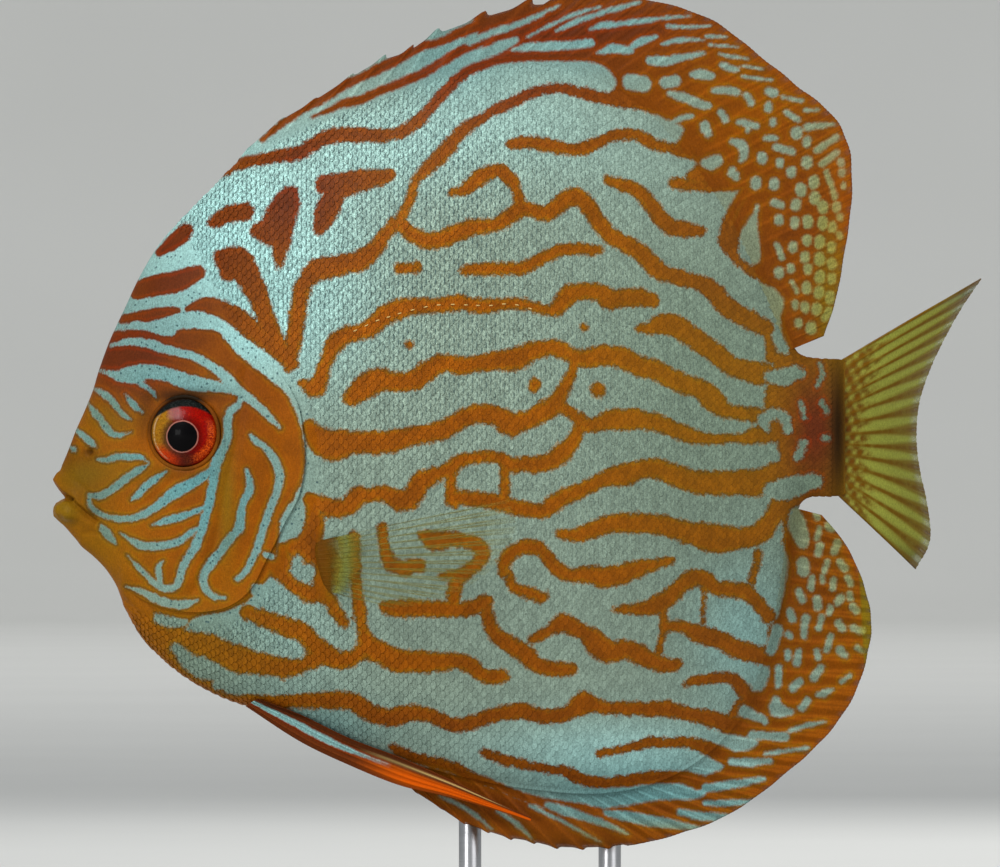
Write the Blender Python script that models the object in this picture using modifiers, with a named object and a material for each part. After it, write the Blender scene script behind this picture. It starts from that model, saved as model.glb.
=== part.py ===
"""A life-size discus fish (Symphysodon), a still museum model on a plain two-rod stand.

Metres, +Z up. The fish heads along -X, its left side faces -Y, and the origin is the middle of
the stand's underside.

The side view is drawn on a chart 1000 units wide and 867 high, x to the tail and y down. One
unit is TOTAL_LENGTH / LENGTH_ON_CHART, and at() turns a chart place into metres.
"""

import math

import bmesh
import bpy
import numpy as np

# Driving dimensions, in metres
TOTAL_LENGTH = 0.165
LENGTH_ON_CHART = 930.0
UNIT = TOTAL_LENGTH / LENGTH_ON_CHART
MIDDLE_ON_CHART = 517.5
LOWEST_ON_CHART = 849.0
BASE_THICKNESS = 0.008
FISH_ABOVE_BASE = 0.014
BASE_LENGTH = 0.116
BASE_DEPTH = 0.080
BASE_EDGE_BEVEL = 0.0015
ROD_RADIUS = 0.002
ROD_COLLAR_RADIUS = 0.0042
ROD_COLLAR_HEIGHT = 0.0026
ROD_SIDE_OFFSET = 0.007
ROD_PLACES_ON_CHART = {"front": 470.0, "rear": 610.0}
GAP = 0.0003
FIN_EDGE_HALF = 0.00026
FIN_ROOT_HALF = 0.0009
RAY_RISE = 0.00022

# Flesh seen from the side, on the chart: the back and the belly from nose to tail root
NOSE_X = 53.0
TAIL_ROOT_X = 836.0
STALK_X = 803.0
BACK_LINE = [
    (53, 479), (56, 474), (61, 467), (66, 456), (70, 446), (76, 430), (85, 410), (93, 390), (99, 370),
    (110, 340), (124, 310), (138, 280), (154, 252), (170, 231), (189, 210), (209, 190), (228, 170),
    (240, 159), (257, 149), (283, 134), (312, 119), (342, 107), (372, 96), (402, 86), (434, 75),
    (468, 67), (500, 62), (540, 60), (582, 67), (622, 86), (656, 112), (687, 147), (712, 180),
    (733, 212), (752, 250), (769, 290), (784, 326), (796, 350), (806, 356), (820, 358), (838, 358),
]
BELLY_LINE = [
    (53, 516), (56, 521), (62, 526), (69, 533), (76, 540), (82, 547), (93, 556), (104, 567), (112, 578),
    (118, 589), (122, 602), (127, 615), (136, 630), (150, 648), (166, 663), (184, 677), (204, 689),
    (225, 699), (245, 706), (270, 714), (300, 724), (340, 739), (372, 751), (408, 762), (448, 773),
    (493, 783), (542, 790), (588, 794), (620, 792), (652, 784), (682, 771), (709, 752), (733, 728),
    (752, 700), (766, 669), (776, 636), (783, 602), (787, 570), (791, 541), (796, 516), (803, 501),
    (815, 497), (838, 497),
]

# Half thickness of the flesh in millimetres, and how lens-like its sections are, along the chart
HALF_THICKNESS_MM = [
    (53, 2.9), (62, 3.3), (75, 4.1), (100, 5.7), (130, 7.6), (160, 9.4), (190, 11.0), (230, 12.8), (270, 13.9),
    (310, 14.5), (360, 14.6), (420, 14.1), (480, 13.1), (540, 11.9), (600, 10.4), (660, 8.6),
    (710, 6.9), (750, 5.5), (785, 4.3), (810, 3.5), (838, 2.7),
]
BACK_POWER = [(53, 1.0), (110, 1.05), (200, 1.25), (350, 1.35), (650, 1.35), (780, 1.2), (838, 1.0)]
BELLY_POWER = [(53, 1.0), (110, 1.0), (250, 1.08), (400, 1.3), (650, 1.35), (780, 1.2), (838, 1.0)]
NOSE_ROUNDING = 24.0
# How far the snout's front stands back at each height, so that the mouth's gape shows from the side
FRONT_SETBACK = [
    (470, 0), (480, 0), (484, 2), (490, 6), (496, 11), (498, 12), (500, 8), (503, 3), (507, 0.6),
    (511, 0), (516, 0.5), (521, 3), (530, 3),
]
SETBACK_FADES_AT = 84.0
BACK_EDGE_FROM, BACK_EDGE_FULL = 228.0, 262.0
BELLY_EDGE_FROM, BELLY_EDGE_FULL = 335.0, 372.0

# The tail half of the fish swings a little to its right, towards +Y
SWING_FROM = 640.0
SWING_AT_ROOT = 0.002

# Lines on the head, on the chart
GILL_EDGE = [
    (98, 590), (118, 590), (134, 594), (153, 602), (172, 608), (198, 612), (223, 606), (245, 588),
    (261, 562), (274, 537), (290, 511), (302, 486), (307, 455), (302, 425), (288, 398), (266, 350),
    (248, 290), (238, 230), (233, 170), (231, 130),
]
CHEEK_LINE = [
    (246, 372), (242, 402), (238, 440), (228, 480), (221, 520), (210, 560), (194, 592), (176, 625),
]
MOUTH_LINE = [(40, 498), (54, 498), (66, 499), (76, 505), (88, 515), (97, 522)]
UPPER_LIP = [(54, 482), (60, 488), (70, 494), (82, 503), (93, 513)]
LOWER_LIP = [(50, 510), (58, 510), (64, 510), (70, 513)]
LOWER_LIP_FOLD = [(70, 513), (80, 518), (90, 523)]
NOSTRIL = (91.0, 452.0)
NOSTRIL_RADIUS = 0.00055
EYE_CENTRE = (184.0, 433.0)
EYE_RADIUS = 0.0059
EYE_HALF_DEPTH = 0.0033
EYE_FROM_MIDDLE = 0.0092
COVER_INNER_WALL = 0.0075
COVER_FLARE = 0.0007

# Root and tip of fin rays on the chart, front to rear or bottom to top: (root x, y, tip x, y)
DORSAL_RAYS = [
    (238, 160, 247, 149), (257, 149, 280, 120), (283, 134, 313, 100), (312, 119, 350, 76),
    (342, 107, 383, 57), (372, 96, 411, 47), (402, 86, 436, 31), (434, 75, 482, 14),
    (468, 67, 528, 1), (500, 62, 572, -3), (540, 60, 620, -3), (582, 67, 668, 4),
    (622, 86, 716, 22), (656, 112, 758, 54), (687, 147, 798, 86), (712, 180, 833, 115),
    (733, 212, 850, 150), (752, 250, 852, 200), (769, 290, 845, 252), (784, 326, 836, 300),
    (795, 348, 824, 336),
]
DORSAL_SPINES = 9
DORSAL_SOFT_RAYS = 30
ANAL_RAYS = [
    (374, 752, 415, 792), (390, 757, 440, 808), (408, 762, 463, 823), (428, 768, 487, 832),
    (448, 773, 510, 839), (470, 778, 533, 843), (493, 783, 556, 848), (517, 787, 582, 849),
    (542, 790, 608, 848), (572, 793, 645, 843), (604, 793, 682, 833), (636, 788, 718, 820),
    (667, 778, 752, 800), (696, 762, 784, 775), (722, 740, 813, 750), (743, 714, 838, 722),
    (760, 684, 857, 690), (772, 652, 868, 655), (780, 618, 872, 625), (785, 585, 868, 598),
    (789, 555, 858, 568), (793, 528, 843, 540), (799, 509, 822, 515),
]
ANAL_SPINES = 9
ANAL_SOFT_RAYS = 29
SPINE_TIP_SHARE = 0.10
TAIL_RAYS = [
    (838, 495, 914, 569), (838, 481, 926, 542), (838, 467, 922, 507), (838, 453, 914, 468),
    (838, 438, 911, 436), (838, 423, 915, 402), (838, 408, 928, 368), (838, 393, 944, 336),
    (838, 377, 962, 307), (838, 362, 983, 278),
]
TAIL_RAY_COUNT = 16
TAIL_RAY_LENGTHS = [(0.0, 0.0262), (0.5, 0.0240), (1.0, 0.0312)]
PECTORAL_RAYS = [
    (325, 539, 508, 499), (326, 545, 515, 517), (326, 552, 513, 537), (327, 560, 502, 557),
    (328, 568, 484, 575), (329, 576, 458, 591), (330, 584, 426, 602), (330, 591, 393, 607),
]
PECTORAL_RAY_COUNT = 12
PECTORAL_SPREAD = 0.0085
PELVIC_UPPER_EDGE = [(258, 698), (300, 714), (350, 738), (400, 757), (450, 779), (500, 803), (531, 817)]
PELVIC_LOWER_EDGE = [(246, 706), (300, 741), (350, 765), (400, 785), (450, 797), (500, 811), (531, 821)]
PELVIC_RAY_COUNT = 6
PELVIC_MIN_OFFSET = 0.0024

COLOURS = {
    "turquoise_flank": ((0.42, 0.58, 0.52, 1.0), 0.40),
    "ochre_head": ((0.36, 0.15, 0.03, 1.0), 0.45),
    "orange_fin": ((0.45, 0.13, 0.02, 1.0), 0.45),
    "clear_fin": ((0.50, 0.42, 0.16, 1.0), 0.35),
    "red_eye": ((0.55, 0.04, 0.01, 1.0), 0.15),
    "black_base": ((0.02, 0.02, 0.022, 1.0), 0.30),
    "steel_rod": ((0.55, 0.55, 0.56, 1.0), 0.25),
}


def curve(points, count):
    """A smooth Catmull-Rom curve through the points, sampled evenly along the chords between them."""
    p = np.array(points, float)
    ends = np.concatenate([[2 * p[0] - p[1]], p, [2 * p[-1] - p[-2]]])
    step = np.linalg.norm(np.diff(p, axis=0), axis=1)
    length = np.concatenate([[0], np.cumsum(step)])
    where = np.linspace(0, length[-1], count)
    k = np.clip(np.searchsorted(length, where, side="right") - 1, 0, len(p) - 2)
    t = ((where - length[k]) / step[k])[:, None]
    a, b, c, d = ends[k], ends[k + 1], ends[k + 2], ends[k + 3]
    return 0.5 * (2 * b + (c - a) * t + (2 * a - 5 * b + 4 * c - d) * t**2 + (3 * b - a - 3 * c + d) * t**3)


def along(table, x):
    """A value read from a table of (x, value) rows, smoothly and with no overshoot past its dense curve."""
    line = curve(table, 40 * len(table))
    return np.interp(x, line[:, 0], line[:, 1])


def ray_table(rays, places):
    """Root and tip of rays at fractional places in a table, by Catmull-Rom between its rows."""
    p = np.array(rays, float)
    ends = np.concatenate([[2 * p[0] - p[1]], p, [2 * p[-1] - p[-2]]])
    k = np.clip(places.astype(int), 0, len(p) - 2)
    t = (places - k)[:, None]
    a, b, c, d = ends[k], ends[k + 1], ends[k + 2], ends[k + 3]
    both = 0.5 * (2 * b + (c - a) * t + (2 * a - 5 * b + 4 * c - d) * t**2 + (3 * b - a - 3 * c + d) * t**3)
    return both[:, :2], both[:, 2:]


def at(x, y):
    """Chart place to metres: X and Z."""
    return (np.asarray(x) - MIDDLE_ON_CHART) * UNIT, (
        BASE_THICKNESS + FISH_ABOVE_BASE + (LOWEST_ON_CHART - np.asarray(y)) * UNIT
    )


def swing(x):
    """How far the body's middle plane lies towards +Y at a chart x, in metres."""
    share = np.clip(np.asarray(x) - SWING_FROM, 0, None) / (TAIL_ROOT_X - SWING_FROM)
    return SWING_AT_ROOT * share**2


def ramp(x, start, full):
    """0 before start, 1 after full, smooth between."""
    t = np.clip((np.asarray(x, float) - start) / (full - start), 0, 1)
    return t * t * (3 - 2 * t)


def edge_half(x, upper):
    """Half width of the flat strip along the back or belly that a fin stands on, in metres."""
    start, full = (BACK_EDGE_FROM, BACK_EDGE_FULL) if upper else (BELLY_EDGE_FROM, BELLY_EDGE_FULL)
    return FIN_ROOT_HALF * ramp(x, start, full)


def flank(x, y):
    """Half thickness of the flesh at a chart place, in metres, and 0 outside its outline."""
    x, y = np.broadcast_arrays(np.asarray(x, float), np.asarray(y, float))
    back, belly = along(BACK_LINE, x), along(BELLY_LINE, x)
    s = ((back + belly) / 2 - y) / ((belly - back) / 2)
    c = np.sqrt(np.clip(1 - s * s, 0, 1))
    return np.where(np.abs(s) < 1, section(x, s, c), 0.0)


def section(x, s, c):
    """Half thickness at height s (-1 belly, 1 back) of the section at chart x, where c is sqrt(1 - s*s)."""
    widest = along(HALF_THICKNESS_MM, x) / 1000
    t = np.clip((x - NOSE_X) / NOSE_ROUNDING, 0, 1)
    widest = widest * np.sqrt(1 - (1 - t) ** 2)
    upper = s > 0
    power = np.where(upper, along(BACK_POWER, x), along(BELLY_POWER, x))
    edge = np.where(upper, edge_half(x, True), edge_half(x, False))
    return edge + (widest - edge) * c**power


def near_line(x, y, line, width):
    """1 on a chart line, falling to 0 over a width of chart units: a bell of the distance to it."""
    path = curve(line, 60)
    gap = np.full(x.shape, 1e9)
    for a, b in zip(path[:-1], path[1:]):
        d = b - a
        t = np.clip(((x - a[0]) * d[0] + (y - a[1]) * d[1]) / (d @ d), 0, 1)
        gap = np.minimum(gap, np.hypot(x - a[0] - t * d[0], y - a[1] - t * d[1]))
    return np.exp(-((gap / width) ** 2))


def relief(x, y, flared):
    """What the flesh stands out by at a chart place, in metres: lips, the orbit's rim, the cheek's fold."""
    front = 1 - ramp(x, 62, 98)
    sides = ramp(x, NOSE_X, NOSE_X + 8)
    d = 0.0007 * near_line(x, y, UPPER_LIP, 4.5) * (0.3 + 0.7 * front) * sides
    d += 0.0011 * near_line(x, y, LOWER_LIP, 7.5) * sides
    d += 0.0003 * near_line(x, y, LOWER_LIP_FOLD, 5.0)
    d -= 0.0006 * near_line(x, y, MOUTH_LINE, 3.0) * sides
    from_eye = np.hypot(x - EYE_CENTRE[0], y - EYE_CENTRE[1])
    d += 0.0004 * np.exp(-(((from_eye - 38) / 8) ** 2))
    d -= 0.0003 * near_line(x, y, CHEEK_LINE, 6.0)
    if flared:
        d += COVER_FLARE * near_line(x, y, GILL_EDGE[2:15], 34.0)
    return d


def skin_grid(stations, around, flared, grow=0.0):
    """Points of the flesh: a ring of 2 * around points at each chart x, left side belly to back, then the right."""
    angle = np.linspace(-math.pi / 2, math.pi / 2, around)
    x = np.repeat(np.asarray(stations, float)[:, None], around, axis=1)
    s, c = np.sin(angle)[None, :], np.cos(angle)[None, :]
    back, belly = along(BACK_LINE, x), along(BELLY_LINE, x)
    y = (back + belly) / 2 - (belly - back) / 2 * s
    half = section(x, s + 0 * x, np.clip(c, 0, 1) + 0 * x)
    setback = np.interp(y, *np.array(FRONT_SETBACK).T)
    gx, gz = at(x + setback * (1 - ramp(x, NOSE_X, SETBACK_FADES_AT)), y)
    left = np.stack([gx, -half, gz], axis=2)
    du, dv = np.gradient(left, axis=0), np.gradient(left, axis=1)
    normal = np.cross(du, dv)
    normal[:, :, 1] = np.where(half < 1e-6, 0, normal[:, :, 1])
    size = np.linalg.norm(normal, axis=2, keepdims=True)
    normal = normal / np.maximum(size, 1e-12)
    if stations[0] <= NOSE_X:
        normal[0] = (-1, 0, 0)
    left = left + normal * (relief(x, y, flared) + grow)[:, :, None]
    on_middle = half < 1e-6
    left[:, :, 1] = np.where(on_middle, 0, np.minimum(left[:, :, 1], 0))
    right = left * (1, -1, 1)
    ring = np.concatenate([left, right[:, ::-1]], axis=1)
    ring[:, :, 1] += swing(np.concatenate([x, x], axis=1))
    return ring


def new_object(name, vertices, faces):
    """A mesh object of closed faces, doubles merged and normals outwards, in the scene's own collection."""
    mesh = bpy.data.meshes.new(name)
    mesh.from_pydata([tuple(v) for v in vertices], [], [tuple(f) for f in faces])
    made = bmesh.new()
    made.from_mesh(mesh)
    bmesh.ops.remove_doubles(made, verts=made.verts, dist=2e-6)
    bmesh.ops.dissolve_degenerate(made, edges=made.edges, dist=1e-6)
    bmesh.ops.triangulate(made, faces=made.faces)
    bmesh.ops.recalc_face_normals(made, faces=made.faces)
    made.to_mesh(mesh)
    made.free()
    obj = bpy.data.objects.new(name, mesh)
    bpy.context.scene.collection.objects.link(obj)
    return obj


def lofted(name, stations, around, flared, grow=0.0):
    """A closed tube of flesh between the first and last station."""
    ring = skin_grid(stations, around, flared, grow)
    n, m = ring.shape[:2]
    index = np.arange(n * m).reshape(n, m)
    nxt = np.roll(index, -1, axis=1)
    quads = np.stack([index[:-1], nxt[:-1], nxt[1:], index[1:]], axis=2).reshape(-1, 4)
    faces = [list(q) for q in quads]
    # The ends are filled with strips between the left and the right side
    for row in (0, n - 1):
        for k in range(around - 1):
            faces.append([index[row, k], index[row, k + 1], index[row, m - 2 - k], index[row, m - 1 - k]])
    return new_object(name, ring.reshape(-1, 3), faces)


def prism(name, outline, low, high):
    """A chart outline pushed straight through the fish from Y low to Y high."""
    x, z = at(*np.array(outline, float).T)
    n = len(x)
    near = np.stack([x, np.full(n, low), z], axis=1)
    far = np.stack([x, np.full(n, high), z], axis=1)
    faces = [list(range(n)), list(range(2 * n - 1, n - 1, -1))]
    faces += [[k, (k + 1) % n, n + (k + 1) % n, n + k] for k in range(n)]
    return new_object(name, np.concatenate([near, far]), faces)


def shifted(line, distance):
    """A chart line moved to its left-hand side, seen along it, by a distance in metres."""
    path = curve(line, 5 * len(line))
    d = np.gradient(path, axis=0)
    d /= np.linalg.norm(d, axis=1, keepdims=True)
    return path + np.stack([d[:, 1], -d[:, 0]], axis=1) * distance / UNIT


def combine(target, tool, operation="DIFFERENCE"):
    """Applies one Boolean and removes the tool."""
    modifier = target.modifiers.new(operation, "BOOLEAN")
    modifier.operation = operation
    modifier.solver = "EXACT"
    modifier.object = tool
    bpy.context.view_layer.update()
    graph = bpy.context.evaluated_depsgraph_get()
    mesh = bpy.data.meshes.new_from_object(target.evaluated_get(graph))
    target.modifiers.clear()
    target.data = mesh
    bpy.data.objects.remove(tool)
    keep_largest(target)
    return target


def keep_largest(obj):
    """Leaves only the closed surface that holds the most."""
    made = bmesh.new()
    made.from_mesh(obj.data)
    bmesh.ops.remove_doubles(made, verts=made.verts, dist=1e-6)
    bmesh.ops.dissolve_degenerate(made, edges=made.edges, dist=1e-6)
    bmesh.ops.triangulate(made, faces=made.faces)
    left, groups = set(made.faces), []
    while left:
        edge, group = [left.pop()], []
        while edge:
            face = edge.pop()
            group.append(face)
            for side in face.edges:
                for other in side.link_faces:
                    if other in left:
                        left.remove(other)
                        edge.append(other)
        groups.append(group)
    size = [abs(sum(f.verts[0].co.cross(f.verts[1].co).dot(f.verts[2].co) for f in g)) for g in groups]
    largest = size.index(max(size))
    doomed = [f for k, g in enumerate(groups) if k != largest for f in g]
    bmesh.ops.delete(made, geom=doomed, context="FACES")
    made.to_mesh(obj.data)
    made.free()


def ball(name, centre, radii, segments=24, rings=14):
    """A closed ellipsoid."""
    made = bmesh.new()
    bmesh.ops.create_uvsphere(made, u_segments=segments, v_segments=rings, radius=1.0)
    for v in made.verts:
        # The sphere's poles turn to face along Y
        v.co = (
            centre[0] + radii[0] * v.co.x,
            centre[1] + radii[1] * v.co.z,
            centre[2] - radii[2] * v.co.y,
        )
    made.normal_update()
    mesh = bpy.data.meshes.new(name)
    made.to_mesh(mesh)
    made.free()
    obj = bpy.data.objects.new(name, mesh)
    bpy.context.scene.collection.objects.link(obj)
    return obj


def sheet_solid(name, middle, half, across):
    """A closed thin plate: a grid of middle points, a half thickness at each, and the way across it.

    Both faces are split into triangles along the same diagonals.
    """
    n, m = half.shape
    near, far = middle - across * half[:, :, None], middle + across * half[:, :, None]
    a = np.arange(n * m).reshape(n, m)
    b = a + n * m
    tri = []
    for grid, turned in ((a, False), (b, True)):
        p, q, r, s = (g.reshape(-1) for g in (grid[:-1, :-1], grid[1:, :-1], grid[1:, 1:], grid[:-1, 1:]))
        first, second = np.stack([p, q, r], axis=1), np.stack([p, r, s], axis=1)
        both = np.concatenate([first, second])
        tri.append(both[:, ::-1] if turned else both)
    for line_a, line_b in ((a[0], b[0]), (a[-1], b[-1]), (a[:, 0], b[:, 0]), (a[:, -1], b[:, -1])):
        p, q, r, s = line_a[:-1], line_a[1:], line_b[1:], line_b[:-1]
        tri.append(np.stack([p, q, r], axis=1))
        tri.append(np.stack([p, r, s], axis=1))
    return new_object(name, np.concatenate([near.reshape(-1, 3), far.reshape(-1, 3)]), np.concatenate(tri))


def median_fin(name, rays, spines, soft, upper):
    """The dorsal or the anal fin: a membrane on the flat strip of the flesh, with a raised ridge at each ray."""
    last = len(rays) - 1
    at_rays = np.concatenate([np.arange(spines), np.linspace(spines, last, soft)])
    places = np.sort(np.concatenate([at_rays, (at_rays[:-1] + at_rays[1:]) / 2]))
    on_ray = np.arange(len(places)) % 2 == 0
    root, tip = ray_table(rays, places)
    share = np.array([0.0, 0.16, 0.4, 0.7, 1.0])
    spiny = places < spines
    reach = np.where(spiny & ~on_ray, 1 - SPINE_TIP_SHARE, 1.0)
    reach = np.where(spiny & on_ray, 1 + SPINE_TIP_SHARE / 2, reach)
    place = root[:, None] + (tip - root)[:, None] * (share[None, :, None] * reach[:, None, None])
    # The root starts a gap's width off the flat strip
    slope = np.gradient(root, axis=0)
    slope /= np.linalg.norm(slope, axis=1, keepdims=True)
    out = np.stack([slope[:, 1], -slope[:, 0]], axis=1) * (1 if upper else -1)
    place[:, 0] = root + out * GAP / UNIT
    x, z = at(place[:, :, 0], place[:, :, 1])
    middle = np.stack([x, swing(place[:, :, 0]), z], axis=2)
    root_half = np.minimum(edge_half(root[:, 0], upper), FIN_ROOT_HALF)
    root_half = np.maximum(root_half, FIN_EDGE_HALF)
    taper = (1 - share) ** 1.6
    half = FIN_EDGE_HALF + (root_half[:, None] - FIN_EDGE_HALF) * taper[None, :]
    half += RAY_RISE * on_ray[:, None] * np.array([0, 1, 1, 0.8, 0.15])[None, :]
    across = np.zeros_like(middle)
    across[:, :, 1] = 1
    return sheet_solid(name, middle, half, across)


def facing(middle):
    """Unit vectors across a grid of points, the ones nearest to +Y."""
    normal = np.cross(np.gradient(middle, axis=0), np.gradient(middle, axis=1))
    normal /= np.maximum(np.linalg.norm(normal, axis=2, keepdims=True), 1e-12)
    return normal * np.sign(normal[:, :, 1].mean())


def ribbed(count, extra=0):
    """Places from 0 to 1 with a ray at every second one, and which of them are rays."""
    places = np.linspace(0, 1, 2 * count - 1 + extra)
    return places, np.arange(len(places)) % 2 == 0


def tail_fin():
    """The tail fin: a fan whose rays leave the stalk in line with it and then sweep towards +Y."""
    places, on_ray = ribbed(TAIL_RAY_COUNT)
    root, tip = ray_table(TAIL_RAYS, places * (len(TAIL_RAYS) - 1))
    share = np.array([0.0, 0.1, 0.25, 0.45, 0.65, 0.85, 1.0])
    advance = share * (1 + 0.35 * (1 - share))
    place = root[:, None] + (tip - root)[:, None] * advance[None, :, None]
    seen = np.linalg.norm(tip - root, axis=1) * UNIT
    true = along(TAIL_RAY_LENGTHS, places)
    sweep = np.sqrt(np.clip(true**2 - seen**2, 0.004**2, None))
    x, z = at(place[:, :, 0], place[:, :, 1])
    slope = 2 * SWING_AT_ROOT / ((TAIL_ROOT_X - SWING_FROM) * UNIT)
    y = SWING_AT_ROOT + slope * (x - x[:, :1]) * (1 - share)[None, :]
    y = y + sweep[:, None] * share[None, :] ** 1.7
    middle = np.stack([x, y, z], axis=2)
    s = np.linspace(-0.93, 0.93, len(places))
    stalk_half = section(np.full(len(places), TAIL_ROOT_X), s, np.sqrt(1 - s * s))
    root_half = np.clip(stalk_half - GAP, FIN_EDGE_HALF * 2, None)
    half = FIN_EDGE_HALF + (root_half[:, None] - FIN_EDGE_HALF) * ((1 - share) ** 4)[None, :]
    half += RAY_RISE * on_ray[:, None] * np.array([0, 1, 1, 1, 0.9, 0.6, 0.1])[None, :]
    across = facing(middle)
    across[:, 0] = (0, 1, 0)
    return sheet_solid("tail_fin", middle, half, across)


def pectoral_fin(side):
    """A paired fin behind the gill cover, spread back over the flank; side is -1 left, 1 right."""
    places, on_ray = ribbed(PECTORAL_RAY_COUNT)
    root, tip = ray_table(PECTORAL_RAYS, places * (len(PECTORAL_RAYS) - 1))
    share = np.array([-0.02, 0.08, 0.25, 0.5, 0.75, 1.0])
    place = root[:, None] + (tip - root)[:, None] * share[None, :, None]
    x, z = at(place[:, :, 0], place[:, :, 1])
    off = flank(root[:, 0], root[:, 1])[:, None] - 0.0002
    y = off + 0.0012 * ramp(share, 0, 0.25)[None, :] + PECTORAL_SPREAD * np.clip(share, 0, 1)[None, :] ** 1.15
    middle = np.stack([x, side * y, z], axis=2)
    taper = np.clip(1 - share, 0, 1) ** 3
    half = FIN_EDGE_HALF + (0.0011 - FIN_EDGE_HALF) * taper[None, :] * np.sin(
        math.pi * (0.1 + 0.8 * places)
    )[:, None]
    half = half + RAY_RISE * on_ray[:, None] * np.array([0, 0.8, 1, 1, 0.7, 0.1])[None, :]
    name = "pectoral_fin_left" if side < 0 else "pectoral_fin_right"
    return sheet_solid(name, middle, half, facing(middle))


def pelvic_fin(side):
    """A narrow fin folded back along the belly; side is -1 left, 1 right."""
    places, on_ray = ribbed(PELVIC_RAY_COUNT)
    steps = 11
    upper, lower = curve(PELVIC_UPPER_EDGE, steps), curve(PELVIC_LOWER_EDGE, steps)
    place = upper[None] * (1 - places)[:, None, None] + lower[None] * places[:, None, None]
    x, z = at(place[:, :, 0], place[:, :, 1])
    share = np.linspace(0, 1, steps)
    half = 0.00030 + 0.00035 * (1 - share)[None, :] + RAY_RISE * on_ray[:, None] * (1 - share**4)[None, :]
    body = flank(place[:, :, 0], place[:, :, 1])
    floor = PELVIC_MIN_OFFSET + 0.0004 * np.sin(math.pi * share)[None, :]
    y = np.maximum(body, floor) + half + GAP * 1.3
    # Smoothed across and along, then lifted back so that no part dips into the flesh
    for _ in range(2):
        y[1:-1] = (y[:-2] + 2 * y[1:-1] + y[2:]) / 4
        y[:, 1:-1] = (y[:, :-2] + 2 * y[:, 1:-1] + y[:, 2:]) / 4
    y = np.maximum(y, body + half + GAP)
    middle = np.stack([x, side * y, z], axis=2)
    across = np.zeros_like(middle)
    across[:, :, 1] = 1
    name = "pelvic_fin_left" if side < 0 else "pelvic_fin_right"
    return sheet_solid(name, middle, half, across)


def body_nodes():
    """Head, gill covers, torso and tail stalk, parted by cuts one gap wide."""
    front = [53, 53.4, 54.5, 56.5, 59, 62.5, 67, 72, 78, 85, 94, 105, 118, 133, 149, 166, 184, 202, 221, 241]
    head = lofted("head", front + [262, 284, 306, 330], 20, True)
    inner, outer = shifted(GILL_EDGE, GAP / 2), shifted(GILL_EDGE, -GAP / 2)
    corner = [(231, 40), (20, 40), (20, 592)]
    combine(head, prism("head_region", list(inner) + corner, -0.03, 0.03), "INTERSECT")
    nodes = [head]
    for side, name in ((-1, "gill_cover_left"), (1, "gill_cover_right")):
        cover = bpy.data.objects.new(name, head.data.copy())
        bpy.context.scene.collection.objects.link(cover)
        for shape, wall, action in (
            (cover, COVER_INNER_WALL + GAP / 2, "INTERSECT"),
            (head, COVER_INNER_WALL - GAP / 2, "DIFFERENCE"),
        ):
            line = shifted(CHEEK_LINE, GAP / 2 if shape is cover else -GAP / 2)
            region = list(line) + [(340, 640), (340, 372)]
            low, high = sorted((side * wall, side * 0.03))
            combine(shape, prism("cover_region", region, low, high), action)
        nodes.append(cover)
    torso_stations = list(np.linspace(100, 700, 34)) + [714, 726, 737, 747, 756, 764, 771, 777, 782, 786.5]
    torso_stations += [790.5, 794, 797.5, 800.5, STALK_X]
    torso = lofted("torso", torso_stations, 17, False)
    combine(torso, prism("head_region", list(outer) + corner, -0.03, 0.03), "DIFFERENCE")
    stalk = lofted("tail_stalk", list(np.linspace(STALK_X + GAP / UNIT, TAIL_ROOT_X, 5)), 13, False)
    return nodes + [torso, stalk]


def cut_head_details(head):
    """Eye sockets, nostrils and the line of the mouth."""
    ex, ez = at(*EYE_CENTRE)
    grown = (EYE_RADIUS + GAP, EYE_HALF_DEPTH + GAP, EYE_RADIUS + GAP)
    nx, nz = at(*NOSTRIL)
    for side in (-1, 1):
        combine(head, ball("socket", (ex, side * EYE_FROM_MIDDLE, ez), grown, 20, 12))
        depth = float(flank(*NOSTRIL))
        radii = (NOSTRIL_RADIUS, 0.0009, NOSTRIL_RADIUS)
        combine(head, ball("nostril", (nx, side * depth, nz), radii, 8, 6))
    upper, lower = shifted(MOUTH_LINE, 0.00022), shifted(MOUTH_LINE, -0.00022)
    slit = list(upper[:-1]) + [curve(MOUTH_LINE, 30)[-1]] + list(lower[:-1])[::-1]
    combine(head, prism("mouth", slit, -0.02, 0.02))


def eyes():
    """Two flattened balls, one in each socket."""
    ex, ez = at(*EYE_CENTRE)
    radii = (EYE_RADIUS, EYE_HALF_DEPTH, EYE_RADIUS)
    return [
        ball("eye_left", (ex, -EYE_FROM_MIDDLE, ez), radii),
        ball("eye_right", (ex, EYE_FROM_MIDDLE, ez), radii),
    ]


def grown_torso():
    """The torso a gap's width bigger all round, for cutting what meets it."""
    return lofted("grown_torso", list(np.linspace(110, 720, 40)), 21, False, GAP)


def stand_base():
    """An oval plate."""
    made = bmesh.new()
    bmesh.ops.create_cone(
        made, cap_ends=True, segments=56, radius1=0.5, radius2=0.5, depth=BASE_THICKNESS
    )
    for v in made.verts:
        v.co = (v.co.x * BASE_LENGTH, v.co.y * BASE_DEPTH, v.co.z + BASE_THICKNESS / 2)
    mesh = bpy.data.meshes.new("stand_base")
    made.to_mesh(mesh)
    made.free()
    obj = bpy.data.objects.new("stand_base", mesh)
    bpy.context.scene.collection.objects.link(obj)
    bevel = obj.modifiers.new("Bevel", "BEVEL")
    bevel.width = BASE_EDGE_BEVEL
    bevel.segments = 2
    bevel.limit_method = "ANGLE"
    bevel.angle_limit = math.radians(50)
    return obj


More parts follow.
